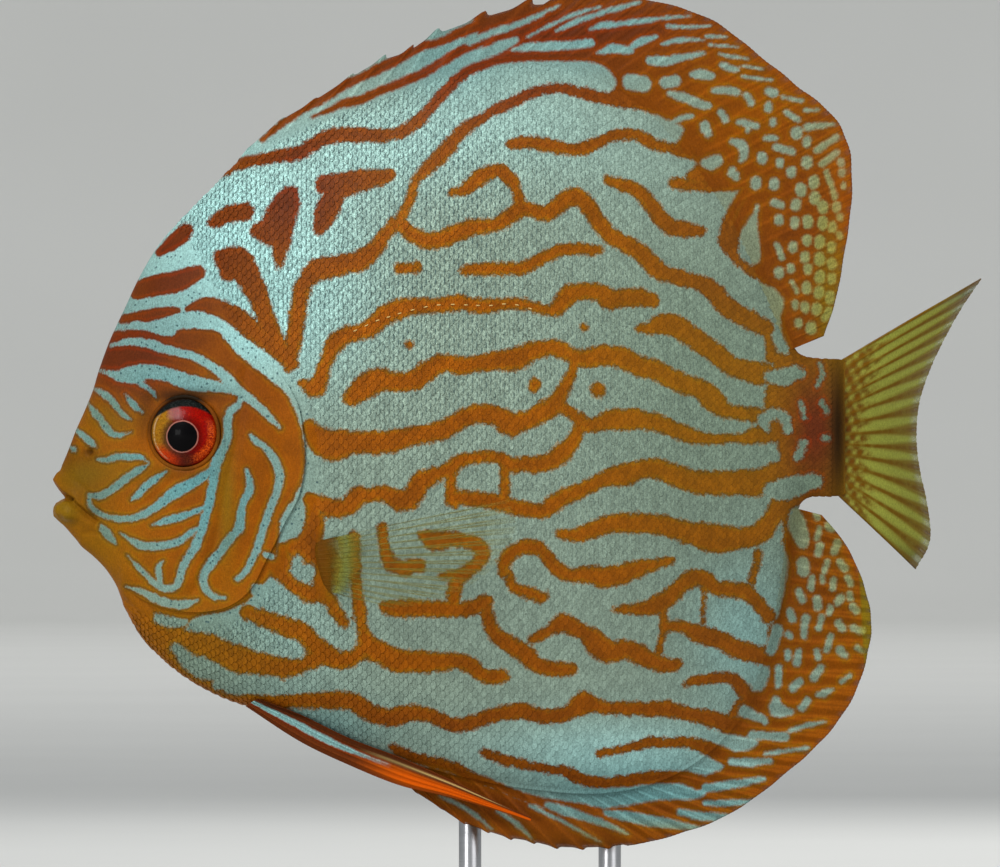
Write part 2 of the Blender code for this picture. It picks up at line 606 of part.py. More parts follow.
def stand_rod(place):
    """A turned rod with a collar on the base, its top cut to the flank that it holds."""
    x = float(at(ROD_PLACES_ON_CHART[place], 0)[0])
    foot, top = BASE_THICKNESS + GAP, 0.075
    profile = [
        (0, top), (ROD_RADIUS, top), (ROD_RADIUS, foot + ROD_COLLAR_HEIGHT),
        (ROD_COLLAR_RADIUS * 0.8, foot + ROD_COLLAR_HEIGHT * 0.75),
        (ROD_COLLAR_RADIUS, foot + ROD_COLLAR_HEIGHT * 0.4), (ROD_COLLAR_RADIUS, foot), (0, foot),
    ]
    name = "stand_rod_" + place
    mesh = bpy.data.meshes.new(name)
    mesh.from_pydata([(r, 0, z) for r, z in profile], [(k, k + 1) for k in range(len(profile) - 1)], [])
    rod = bpy.data.objects.new(name, mesh)
    rod.location = (x, ROD_SIDE_OFFSET, 0)
    bpy.context.scene.collection.objects.link(rod)
    screw = rod.modifiers.new("Screw", "SCREW")
    screw.steps = screw.render_steps = 20
    screw.use_merge_vertices = True
    screw.merge_threshold = 0.00001
    bpy.context.view_layer.update()
    graph = bpy.context.evaluated_depsgraph_get()
    turned = bpy.data.meshes.new_from_object(rod.evaluated_get(graph))
    rod.modifiers.clear()
    rod.data = turned
    rod.data.transform(rod.matrix_world)
    rod.location = (0, 0, 0)
    bpy.context.view_layer.update()
    made = bmesh.new()
    made.from_mesh(rod.data)
    bmesh.ops.remove_doubles(made, verts=made.verts, dist=1e-6)
    bmesh.ops.recalc_face_normals(made, faces=made.faces)
    made.to_mesh(rod.data)
    made.free()
    return combine(rod, grown_torso())


def paint(obj, finish):
    """One plain material for a node."""
    colour, roughness = COLOURS[finish]
    material = bpy.data.materials.get(finish) or bpy.data.materials.new(finish)
    material.use_nodes = True
    shader = material.node_tree.nodes["Principled BSDF"]
    shader.inputs["Base Color"].default_value = colour
    shader.inputs["Roughness"].default_value = roughness
    shader.inputs["Metallic"].default_value = 1.0 if finish == "steel_rod" else 0.0
    material.diffuse_color = colour
    obj.data.materials.clear()
    obj.data.materials.append(material)


def main():
    """Clears the scene and models the fish on its stand."""
    for obj in list(bpy.data.objects):
        bpy.data.objects.remove(obj)
    head, cover_left, cover_right, torso, stalk = body_nodes()
    cut_head_details(head)
    fish = {
        "ochre_head": [head, cover_left, cover_right],
        "turquoise_flank": [torso, stalk],
        "red_eye": eyes(),
        "orange_fin": [
            median_fin("dorsal_fin", DORSAL_RAYS, DORSAL_SPINES, DORSAL_SOFT_RAYS, True),
            median_fin("anal_fin", ANAL_RAYS, ANAL_SPINES, ANAL_SOFT_RAYS, False),
            pelvic_fin(-1),
            pelvic_fin(1),
        ],
        "clear_fin": [
            tail_fin(),
            combine(pectoral_fin(-1), grown_torso()),
            combine(pectoral_fin(1), grown_torso()),
        ],
        "black_base": [stand_base()],
        "steel_rod": [stand_rod("front"), stand_rod("rear")],
    }
    collection = bpy.data.collections.new("discus_fish")
    bpy.context.scene.collection.children.link(collection)
    for finish, nodes in fish.items():
        for node in nodes:
            paint(node, finish)
            bpy.context.scene.collection.objects.unlink(node)
            collection.objects.link(node)


main()
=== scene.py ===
"""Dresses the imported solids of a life-size discus fish on its display stand.

Metres, +Z up, the fish heads along -X and its left side faces -Y. Outlines and markings are drawn
on a chart, a side view 1000 units wide with x to the tail and y down; Chart turns it into metres.
"""

import logging
import math
from dataclasses import dataclass, field
from enum import Enum

import bpy
import numpy as np
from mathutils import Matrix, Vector


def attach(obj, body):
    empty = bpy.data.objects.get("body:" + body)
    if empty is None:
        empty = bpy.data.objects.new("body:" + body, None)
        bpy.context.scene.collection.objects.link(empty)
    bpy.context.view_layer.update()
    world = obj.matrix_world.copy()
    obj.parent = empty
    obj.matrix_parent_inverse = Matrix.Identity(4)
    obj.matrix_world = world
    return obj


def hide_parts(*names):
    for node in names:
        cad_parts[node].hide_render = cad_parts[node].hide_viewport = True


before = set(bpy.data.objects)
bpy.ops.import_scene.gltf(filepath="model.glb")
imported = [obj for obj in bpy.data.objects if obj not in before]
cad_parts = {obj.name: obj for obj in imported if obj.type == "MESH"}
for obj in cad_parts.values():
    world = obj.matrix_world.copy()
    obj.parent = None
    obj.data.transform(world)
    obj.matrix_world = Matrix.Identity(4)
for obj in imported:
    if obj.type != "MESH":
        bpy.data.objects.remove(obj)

log = logging.getLogger("discus")

Array = np.ndarray
Rows = tuple[tuple[float, ...], ...]


class Side(Enum):
    """A side of the fish, by the sign of its Y."""

    LEFT = -1
    RIGHT = 1

    @property
    def word(self) -> str:
        """The side as the pieces' names say it."""
        return self.name.lower()


# Curves and the chart


def catmull_rom(p: Array, k: Array, t: Array) -> Array:
    """Points of a Catmull-Rom curve, the cubic through its knots whose slopes come from their neighbours.

    Args:
        p: the knots, one a row.
        k: the number of the knot before each point.
        t: the share of the way from that knot to the next, a column.

    Returns:
        The points, one a row.
    """
    ends = np.concatenate([[2 * p[0] - p[1]], p, [2 * p[-1] - p[-2]]])
    a, b, c, d = ends[k], ends[k + 1], ends[k + 2], ends[k + 3]
    return 0.5 * (2 * b + (c - a) * t + (2 * a - 5 * b + 4 * c - d) * t**2 + (3 * b - a - 3 * c + d) * t**3)


def smooth(rows: Rows | Array, count: int) -> Array:
    """A Catmull-Rom curve through rows, sampled evenly along the chords between them.

    Args:
        rows: points of any dimension, one a row.
        count: how many samples.

    Returns:
        The samples, one a row.
    """
    p = np.array(rows, float)
    step = np.linalg.norm(np.diff(p[:, :2], axis=0), axis=1)
    length = np.concatenate([[0], np.cumsum(step)])
    where = np.linspace(0, length[-1], count)
    k = np.clip(np.searchsorted(length, where, side="right") - 1, 0, len(p) - 2)
    return catmull_rom(p, k, ((where - length[k]) / step[k])[:, None])


def between(rows: Rows, places: Array) -> Array:
    """Catmull-Rom values at fractional row numbers.

    Args:
        rows: a table, one row a knot.
        places: fractional row numbers.

    Returns:
        One interpolated row for each place.
    """
    p = np.array(rows, float)
    k = np.clip(places.astype(int), 0, len(p) - 2)
    return catmull_rom(p, k, (places - k)[:, None])


def bilinear(grid: Array, row: Array, column: Array) -> Array:
    """A grid's values at fractional rows and columns, kept within it.

    Args:
        grid: the values.
        row: where to read, in rows.
        column: where to read, in columns.

    Returns:
        One value for each place.
    """
    u = np.clip(row, 0, grid.shape[0] - 1.001)
    v = np.clip(column, 0, grid.shape[1] - 1.001)
    i, j = u.astype(int), v.astype(int)
    s, t = u - i, v - j
    near = grid[i, j] * (1 - t) + grid[i, j + 1] * t
    far = grid[i + 1, j] * (1 - t) + grid[i + 1, j + 1] * t
    return near * (1 - s) + far * s


def ramp(x: Array | float, start: float, full: float) -> Array:
    """0 at start and 1 at full, smooth between: 3t^2 - 2t^3."""
    t = np.clip((np.asarray(x, float) - start) / (full - start), 0, 1)
    return t * t * (3 - 2 * t)


def bell(x: Array, width: float) -> Array:
    """1 at 0, falling to either side as exp(-(x / width)^2)."""
    return np.exp(-((x / width) ** 2))


class Profile:
    """A value along the chart, read from (x, value) rows through a smooth curve."""

    def __init__(self, rows: Rows) -> None:
        """Samples the curve through rows closely."""
        line = smooth(rows, 40 * len(rows))
        self.x, self.value = line[:, 0], line[:, 1]

    def __call__(self, x: Array) -> Array:
        """The value at each chart x."""
        return np.interp(x, self.x, self.value)


@dataclass(frozen=True)
class Chart:
    """The side view, and how it lies in space."""

    unit: float = 0.165 / 930.0
    middle: float = 517.5
    lowest: float = 849.0
    lowest_z: float = 0.022

    def x(self, x: Array) -> Array:
        """Chart x to metres along X."""
        return (np.asarray(x) - self.middle) * self.unit

    def z(self, y: Array) -> Array:
        """Chart y to metres along Z."""
        return self.lowest_z + (self.lowest - np.asarray(y)) * self.unit

    def place(self, points: Array) -> tuple[Array, Array]:
        """Chart x and y of points in space."""
        x, z = points[..., 0], points[..., 2]
        return self.middle + x / self.unit, self.lowest - (z - self.lowest_z) / self.unit


CHART = Chart()


class Field:
    """Signed distances to what is drawn, on a fine grid over the chart, negative inside."""

    def __init__(self, reach: float = 14.0, step: float = 0.5) -> None:
        """An empty field.

        Args:
            reach: distances are kept up to this, in chart units.
            step: the grid's spacing, in chart units.
        """
        self.reach, self.step = reach, step
        self.left, self.top, width, height = 20.0, -30.0, 990.0, 910.0
        self.grid = np.full((int(height / step), int(width / step)), reach, np.float32)

    def window(self, low: Array, high: Array) -> tuple[tuple[slice, slice], Array, Array]:
        """The part of the grid round a box of the chart, with its x and y.

        Args:
            low: the box's corner with the smallest x and y.
            high: its other corner.

        Returns:
            The grid's rows and columns there, then chart x as a row and chart y as a column.
        """
        rows, columns = self.grid.shape
        i0 = max(int((low[0] - self.left) / self.step), 0)
        j0 = max(int((low[1] - self.top) / self.step), 0)
        i1 = min(int((high[0] - self.left) / self.step) + 2, columns)
        j1 = min(int((high[1] - self.top) / self.step) + 2, rows)
        x = self.left + np.arange(i0, max(i1, i0)) * self.step
        y = self.top + np.arange(j0, max(j1, j0)) * self.step
        return (slice(j0, max(j1, j0)), slice(i0, max(i1, i0))), x[None, :], y[:, None]

    def stroke(self, rows: Rows | Array, taper: float = 0.0) -> None:
        """Draws one line: a chain of capsules along the smooth curve through (x, y, radius) rows.

        Args:
            rows: the line's knots with its half width at each.
            taper: the share of the half width that is lost at both ends.
        """
        p = np.array(rows, float)
        if len(p) == 1:
            p = np.concatenate([p, p + (0.01, 0, 0)])
        length = np.linalg.norm(np.diff(p[:, :2], axis=0), axis=1).sum()
        path = smooth(p, max(int(length / 3), 2) + 1)
        share = np.linspace(-1, 1, len(path))
        path[:, 2] = np.maximum(path[:, 2], 0.2) * (1 - taper * share**4)
        for a, b in zip(path[:-1], path[1:]):
            margin = max(a[2], b[2]) + self.reach
            part, x, y = self.window(np.minimum(a, b)[:2] - margin, np.maximum(a, b)[:2] + margin)
            d = b - a
            along = np.clip(((x - a[0]) * d[0] + (y - a[1]) * d[1]) / (d[0] ** 2 + d[1] ** 2 + 1e-9), 0, 1)
            gap = np.hypot(x - a[0] - along * d[0], y - a[1] - along * d[1]) - a[2] - along * d[2]
            patch = self.grid[part]
            np.minimum(patch, gap, out=patch)

    def strokes(self, width: float, lines: tuple[Rows, ...], taper: float = 0.0) -> "Field":
        """Draws several lines of one width; a line's row may give its own radius instead."""
        for line in lines:
            self.stroke([(r[0], r[1], r[2] if len(r) > 2 else width / 2) for r in line], taper)
        return self

    def polygon(self, corners: Rows) -> "Field":
        """Adds the inside of a smooth closed outline.

        Args:
            corners: the outline's knots in order, x and y.

        Returns:
            This field.
        """
        p = smooth(corners + corners[:1], 6 * len(corners))[:-1]
        edge = Field(self.reach, self.step)
        edge.stroke([(x, y, 0.0) for x, y in np.concatenate([p, p[:1]])])
        x = self.left + np.arange(self.grid.shape[1])[None, :] * self.step
        y = self.top + np.arange(self.grid.shape[0])[:, None] * self.step
        inside = np.zeros(self.grid.shape, bool)
        for a, b in zip(p, np.roll(p, -1, axis=0)):
            first, last = np.searchsorted(y[:, 0], sorted((a[1], b[1])))
            if first < last:
                rows = y[first:last]
                inside[first:last] ^= x < a[0] + (rows - a[1]) * (b[0] - a[0]) / (b[1] - a[1])
        distance = np.where(inside, -edge.grid, edge.grid)
        self.grid = np.minimum(self.grid, distance)
        return self

    def sample(self, x: Array, y: Array) -> Array:
        """The distance at chart places, read bilinearly from the grid."""
        return bilinear(self.grid, (y - self.top) / self.step, (x - self.left) / self.step)


# The fish's markings, as lines and patches on the chart


@dataclass(frozen=True)
class Pattern:
    """Where the pale turquoise lies, drawn on the chart.

    The trunk is pale with dark stripes; the head, the tail stalk and the fins' rear parts are dark
    with pale lines and spots.
    """

    trunk_ground: Rows = (
        (112, 331), (92, 300), (120, 200), (240, 110), (330, 40), (430, -10), (466, 2), (478, 34), (492, 58),
        (545, 61), (585, 62), (606, 68), (616, 84), (604, 98), (640, 111), (670, 121), (683, 131), (672, 150),
        (690, 157), (696, 165), (684, 178), (712, 190), (742, 190), (738, 205), (726, 230), (722, 246),
        (740, 268), (762, 283), (778, 292), (784, 304), (780, 320), (784, 338), (789, 352), (779, 353),
        (768, 352), (772, 372), (764, 394), (766, 420), (779, 452), (772, 474), (772, 492), (768, 508),
        (756, 524), (762, 532), (776, 521), (782, 524), (782, 544), (788, 560), (786, 580), (782, 600),
        (778, 616), (768, 624), (766, 640), (752, 655), (768, 666), (768, 678), (762, 690), (752, 692),
        (744, 700), (760, 712), (758, 722), (746, 726), (758, 742), (748, 750), (723, 754), (723, 768),
        (704, 777), (706, 792), (694, 799), (660, 800), (600, 809), (570, 806), (540, 806), (500, 790),
        (450, 772), (400, 760), (350, 742), (300, 725), (262, 708), (240, 700), (222, 690), (206, 676),
        (196, 668), (188, 652), (186, 628), (200, 616), (226, 611), (246, 602), (262, 588), (276, 566),
        (280, 540), (283, 516), (296, 496), (306, 470), (303, 430), (290, 398), (272, 381), (256, 368),
        (240, 355), (228, 342), (218, 331), (192, 329), (180, 330), (170, 335), (140, 330),
    )

    # Dark stripes and patches on the trunk
    shoulder_stripes: tuple[Rows, ...] = (
        ((222, 174, 3.5), (240, 164, 5), (260, 160, 5.5), (280, 156, 6), (300, 153, 6.5), (320, 141, 6.5),
         (340, 135, 7.5), (380, 136, 6.5), (400, 133, 6), (420, 120, 5.5), (440, 97, 5), (460, 77, 4.5),
         (475, 68, 4), (500, 60, 3.5), (540, 57, 3.5), (600, 56, 3)),
        ((312, 117, 1), (330, 110, 2), (340, 105, 3.5), (360, 100, 4), (380, 91, 4), (420, 75, 4),
         (440, 63, 4), (460, 51, 4), (478, 44, 3.5), (500, 36, 3), (540, 22, 3), (570, 10, 3), (600, 2, 3)),
        ((262, 140, 2), (276, 128, 3), (300, 111, 3.5), (320, 100, 4.5), (340, 87, 4.5), (360, 78, 3.5),
         (380, 68, 4.5), (400, 58, 4.5), (420, 47, 4), (440, 42, 3), (460, 33, 4.5), (480, 25, 4.5),
         (500, 18, 4), (520, 12, 3.5), (540, 7, 4), (560, 1, 4), (600, -3, 4), (640, 1, 4), (680, 12, 4)),
        ((290, 368, 5), (294, 346, 7), (297, 322, 8), (300, 302, 8), (304, 285, 8.5), (318, 271, 11),
         (342, 265, 10), (362, 261, 10), (377, 247, 7.5), (386, 234, 6), (398, 224, 5), (409, 202, 4.5),
         (415, 184, 4.5), (427, 169, 6), (442, 155, 7), (460, 134, 6.5), (480, 119, 4.5), (500, 108.5, 5.5),
         (520, 98.5, 5), (540, 90.5, 4.7), (560, 89, 4.8), (580, 93, 5.2), (605, 99, 6), (640, 104, 6)),
        ((511, 144, 4.5), (520, 143.5, 5.8), (530, 143, 6), (550, 146, 6.2), (570, 150, 5.8),
         (580, 150, 5.8), (596, 144, 5.8), (610, 137.5, 5.5), (625, 134.5, 5.5), (638, 136, 5.5),
         (650, 142.5, 5.5), (664, 147, 5), (690, 153, 6)),
        ((451, 194, 3.5), (461, 192, 4.5), (468, 187, 6.5), (475, 182, 7.5), (483, 176, 7.5),
         (492, 172.5, 7), (501, 172.5, 7), (510, 180, 7), (516, 191, 5), (520, 204, 5)),
        ((392, 222, 4), (401, 224, 6), (410, 234, 7), (425, 241, 8), (440, 240, 8.2), (460, 232.5, 8.3),
         (470, 229, 8.2), (490, 226, 7.2), (500, 223.5, 7.2), (510, 217, 7.7), (520, 209.5, 7.7),
         (530, 210.5, 6.8), (540, 214, 6.8), (550, 212, 7.3), (560, 204, 8.2), (570, 198, 8.5),
         (580, 199, 8.2), (590, 211, 7.8), (600, 225, 7.8), (610, 236, 8.2), (622, 243, 8.2), (640, 253, 8.2),
         (650, 264, 8.6), (660, 272, 8.2), (680, 278, 7.6), (700, 283.5, 7.7), (710, 290, 9), (720, 300, 9.2),
         (730, 310, 9.2), (750, 320.5, 9.3), (765, 328, 8)),
        ((608, 181, 4), (620, 185, 5.6), (630, 188, 6), (640, 194, 6.5), (650, 205, 7), (660, 218, 7.7),
         (670, 227, 8), (680, 229.5, 7.5), (690, 230.5, 6.5), (700, 231, 5)),
        ((674, 184, 5.5), (704, 186, 5.5), (745, 184, 6)),
        ((746, 190, 6), (733, 212, 5), (724, 238, 5.5), (736, 257, 5.5), (755, 271, 6), (775, 279, 7)),
        ((464, 271, 5), (490, 269, 6), (518, 269, 6), (538, 261, 6), (564, 250, 6), (597, 251, 5)),
        ((400, 269, 5.5), (416, 268, 5.5)),
    )
    flank_stripes: tuple[Rows, ...] = (
        ((301, 383, 3), (316, 388, 9.5), (325, 366, 6), (332, 350, 8), (341, 338, 9), (360, 332, 8),
         (370, 329, 9), (380, 320, 9), (390, 312.5, 9.5), (400, 310, 10), (411, 307.5, 9), (422, 306, 7.5),
         (440, 306, 7.5), (460, 303.5, 7.5), (480, 306.5, 7.5), (500, 305.5, 6), (520, 304.5, 5.5),
         (540, 309, 5), (551, 311, 6), (561, 303, 8.5), (570, 294, 9), (582, 292, 8), (600, 293, 8.5),
         (609, 299, 10.5), (620, 298, 8.5), (640, 298, 8.5), (652, 301, 6.5)),
        ((638, 329, 4), (650, 328, 6), (662, 324, 10), (676, 327, 11), (690, 336, 10), (703, 345, 10),
         (716, 354, 9.5), (730, 366, 9.5), (745, 370, 10), (760, 374, 11), (775, 375, 8)),
        ((766, 334, 3), (769, 345, 4), (772, 358, 6)), ((409, 344, 4), (409, 345, 4)),
        ((534, 384, 6), (534, 386, 6)), ((597, 389, 6.5), (597, 391, 6.5)), ((583, 327, 3), (584, 328, 3)),
        ((351, 398, 7.5), (360, 391, 11.5), (370, 384, 12.5), (380, 380, 12), (390, 382, 9.5),
         (410, 381, 9.5), (420, 377, 9.5), (430, 369, 10), (440, 364.5, 9.5), (450, 363.5, 8),
         (460, 366, 8.5), (480, 363.5, 8), (500, 361, 9.5), (518, 358, 11.5), (529, 352, 9), (550, 348, 8),
         (562, 351, 8), (576, 358, 7.5), (590, 357.5, 9.5), (603, 355.5, 9.5), (620, 358, 10),
         (640, 366.5, 10.5), (660, 373, 9.5), (680, 383, 9.5), (700, 390, 9.5), (712, 399, 11.5),
         (722, 409, 8), (736, 413, 6.5), (756, 415, 6.5)),
        ((309, 425, 5), (319, 438, 12), (330, 445, 15), (341, 444, 14), (352, 442.5, 11), (380, 442.5, 11.5),
         (395, 441, 11), (408, 437, 9.5), (440, 431, 9.5), (452, 425, 9.5), (464, 418, 9), (480, 414.5, 9.5),
         (497, 416, 9.5), (510, 425, 11), (520, 422, 10), (531, 419, 9.5), (542, 412, 9.5), (551, 407, 9),
         (559, 397, 7.5), (565, 386, 6), (571, 374, 5), (574, 360, 5)),
        ((578, 424, 5.5), (592, 425, 7), (603, 422, 8), (612, 420, 10.5), (640, 419.5, 9.5), (662, 425, 8.5),
         (682, 433, 7.5), (700, 438, 6.5), (722, 438.5, 4.5), (742, 438, 5), (762, 434, 9), (790, 430, 8)),
        ((566, 452, 5), (573, 440, 6), (580, 425, 6)), ((556, 404, 5), (568, 411, 5.5), (580, 420, 6)),
        ((312, 500, 8), (330, 507, 9), (348, 507, 8.5), (358, 496, 9.5), (370, 495, 7.5), (380, 492.5, 8),
         (390, 496, 9), (401, 500, 11), (411, 497, 10), (420, 483, 10.5), (430, 477, 8.5), (440, 473, 6.5),
         (450, 469, 7), (460, 461, 6.5), (480, 457, 5.5), (498, 457.5, 5.5), (508, 464, 8), (522, 464.5, 7.5),
         (540, 464, 8), (550, 461, 8.5), (560, 454, 9.5), (569, 446, 8), (578, 432, 5.5)),
        ((451, 466, 5), (451, 480, 5), (451, 497, 6), (455, 503, 5)),
        ((452, 498, 7), (462, 497.5, 7.5), (480, 499.5, 7), (500, 502.5, 8), (520, 508.5, 7.5),
         (540, 510, 7.5), (550, 506.5, 8.5), (562, 497.5, 8), (580, 490.5, 7.5), (600, 481, 7), (611, 477, 9),
         (624, 474.5, 11), (636, 471, 9.5), (650, 468, 9.5), (661, 470, 10), (680, 477, 10.5),
         (700, 482.5, 11), (740, 482.5, 12.5), (760, 482, 13), (790, 466, 10), (820, 453, 10)),
        ((503, 462, 5), (505, 480, 5), (504, 500, 6)),
        ((559, 533, 4.5), (575, 535, 6.5), (586, 532, 8), (600, 527, 8.5), (612, 523, 9), (640, 523, 9.5),
         (666, 526, 9.5), (690, 533, 11), (715, 538, 14), (740, 538, 11), (764, 530, 9), (776, 508, 8)),
        ((503, 571, 5.5), (505, 560, 6.5), (513, 551, 7), (525, 546.5, 7), (538, 548, 7), (547, 557, 6.5),
         (556, 568, 7), (568, 574, 7), (582, 574.5, 7.5), (592, 574, 9), (603, 577, 10), (622, 574, 9),
         (632, 570, 8.5), (646, 566, 7), (660, 563, 5), (670, 560, 3.5)),
        ((508, 570, 3), (512, 586, 5), (525, 591, 6), (538, 596, 6), (543, 596, 5)),
        ((615, 609, 3), (630, 608.5, 5), (645, 607.5, 7), (658, 604, 9.5), (670, 595, 8.5), (682, 584, 8),
         (694, 577, 8.5), (706, 580, 8), (716, 588, 7), (732, 589.5, 7.5), (746, 592, 8), (757, 603, 7),
         (768, 616, 7)), ((661, 610, 3.5), (664, 625, 4.5), (661, 638, 2.5), (658, 652, 3.5)),
        ((666, 626, 5.5), (684, 627, 6), (700, 634, 9), (712, 637.5, 9), (724, 642, 8), (740, 650, 9),
         (768, 657, 8.5)), ((704, 588, 3), (703, 604, 1.2), (702, 622, 3)),
        ((758, 553, 3.5), (755, 566, 3.5), (751, 580, 3.5)),
        ((484, 600, 6), (487, 613, 6.5), (491, 628, 7), (500, 638, 8), (512, 645.5, 8.5), (524, 653, 9),
         (535, 663, 8), (548, 668, 7), (570, 669, 6.5)),
        ((532, 639, 4.5), (542, 634, 4.5), (553, 628, 6), (562, 622, 9), (571, 626, 8.5), (582, 631, 7.5),
         (592, 638, 10), (601, 648, 12), (612, 653, 9), (624, 649, 9.5), (636, 653, 9.5), (650, 660, 8.5),
         (664, 664.5, 7.5), (676, 664, 6)),
        ((384, 606, 4.5), (398, 608, 8), (440, 608.5, 8), (462, 609, 7.5), (475, 606, 7.5), (486, 600, 6.5)),
        ((354, 536, 5), (355, 560, 5.5), (356, 585, 5.5), (359, 605, 6), (362, 628, 5.5), (370, 646, 10.5),
         (382, 652, 11), (394, 659, 11.5), (410, 661, 11), (430, 661.5, 10.5), (446, 661, 9), (460, 660.5, 8),
         (470, 665, 8), (480, 673, 7), (490, 676, 7.5), (501, 675.5, 7)),
        ((382, 527, 4.5), (384, 545, 5), (391, 563, 7), (405, 567.5, 7.5), (419, 565, 6.5)),
        ((424, 535, 5), (433, 540, 9.5), (445, 539, 8.5), (460, 539, 6.5), (474, 543, 7), (483, 551, 7),
         (478, 562, 6.5), (468, 570, 7), (458, 578, 7), (454, 590, 6.5), (453, 600, 6)),
        ((441, 575, 2.5), (450, 574, 4)),
        ((248, 612, 7), (262, 617, 7.5), (280, 624, 9), (292, 628, 9.5), (304, 633, 9), (314, 643, 9),
         (324, 652, 10), (338, 659, 9), (350, 658, 8), (362, 650, 7), (368, 640, 6)),
        ((186, 640, 10), (210, 646, 12), (232, 656, 13), (256, 664, 13), (280, 668, 11), (300, 663, 9),
         (325, 656, 8)),
    )
    belly_stripes: tuple[Rows, ...] = (
        ((226, 701, 6), (262, 702, 7), (300, 701, 6.5), (320, 700, 8), (345, 700, 9), (356, 703, 9.5),
         (368, 711, 9), (380, 716, 8.5), (392, 717, 8.5), (405, 713, 8.5), (420, 713, 7), (432, 716, 7),
         (446, 722, 7), (460, 724.5, 6.5), (475, 721, 6.5), (490, 715, 7), (510, 711.5, 7.5), (525, 711, 8),
         (540, 715, 7), (556, 715.5, 7.5), (570, 711, 7.5), (582, 703, 11), (592, 704, 8.5), (604, 707, 6),
         (640, 708.5, 6.5), (668, 709, 8), (685, 713, 7), (705, 717, 7.5), (725, 723, 9), (756, 730, 8)),
        ((483, 752, 3.5), (495, 757, 4.5), (510, 761.5, 4.5), (530, 765, 4), (550, 769, 4), (564, 771, 5),
         (576, 777, 6), (588, 781, 5), (602, 782.5, 4.5), (622, 781, 5.5), (645, 778, 6), (680, 777, 6),
         (700, 782, 7)),
        ((392, 747, 3), (405, 754, 4.5), (420, 759, 5), (440, 764, 5.5), (455, 768, 5.5), (465, 775, 6),
         (478, 781, 5.5), (490, 783, 4), (515, 794, 4), (545, 803, 4.5), (570, 807, 5), (600, 813, 5)),
        ((598, 753, 3), (620, 749, 4), (640, 744, 4.5), (652, 741, 5), (668, 743, 4.5), (684, 741, 5),
         (698, 745, 6), (712, 750, 7), (726, 757, 8), (745, 765, 8)),
        ((685, 684, 2.5), (693, 681, 4), (706, 679, 4.5), (720, 677, 5), (732, 679, 6), (741, 687, 7),
         (748, 698, 6.5), (760, 706, 6)), ((742, 700, 3), (736, 706, 3), (733, 714, 4)),
        ((262, 712, 5), (300, 727, 5), (340, 742, 4), (380, 757, 4), (410, 766, 4)),
    )
    nape_patches: tuple[Rows, ...] = (
        ((188, 226, 3), (184, 233, 8), (174, 242, 7), (160, 252, 4)),
        ((138, 290, 9), (160, 285, 10), (180, 281, 10), (198, 273, 7)),
        ((124, 320, 5), (140, 318, 6), (160, 313, 5), (178, 311, 3)),
        ((214, 222, 6), (228, 215, 8), (246, 212, 8)),
        ((290, 196, 9), (283, 212, 15), (275, 230, 15), (258, 232, 7)),
        ((283, 220, 12), (281, 248, 8), (279, 268, 2)),
        ((222, 258, 8), (238, 262, 14), (250, 280, 12), (260, 300, 10), (267, 320, 9), (276, 342, 9),
         (290, 364, 6)), ((228, 265, 11), (229, 272, 9.5)),
        ((188, 309, 2), (206, 305, 6.5), (226, 312, 10), (245, 324, 10), (262, 338, 9), (280, 350, 9),
         (292, 364, 7)), ((325, 186, 10), (340, 186, 12), (358, 182, 11), (388, 176, 7)),
        ((332, 198, 11), (327, 212, 11), (320, 228, 7)),
    )

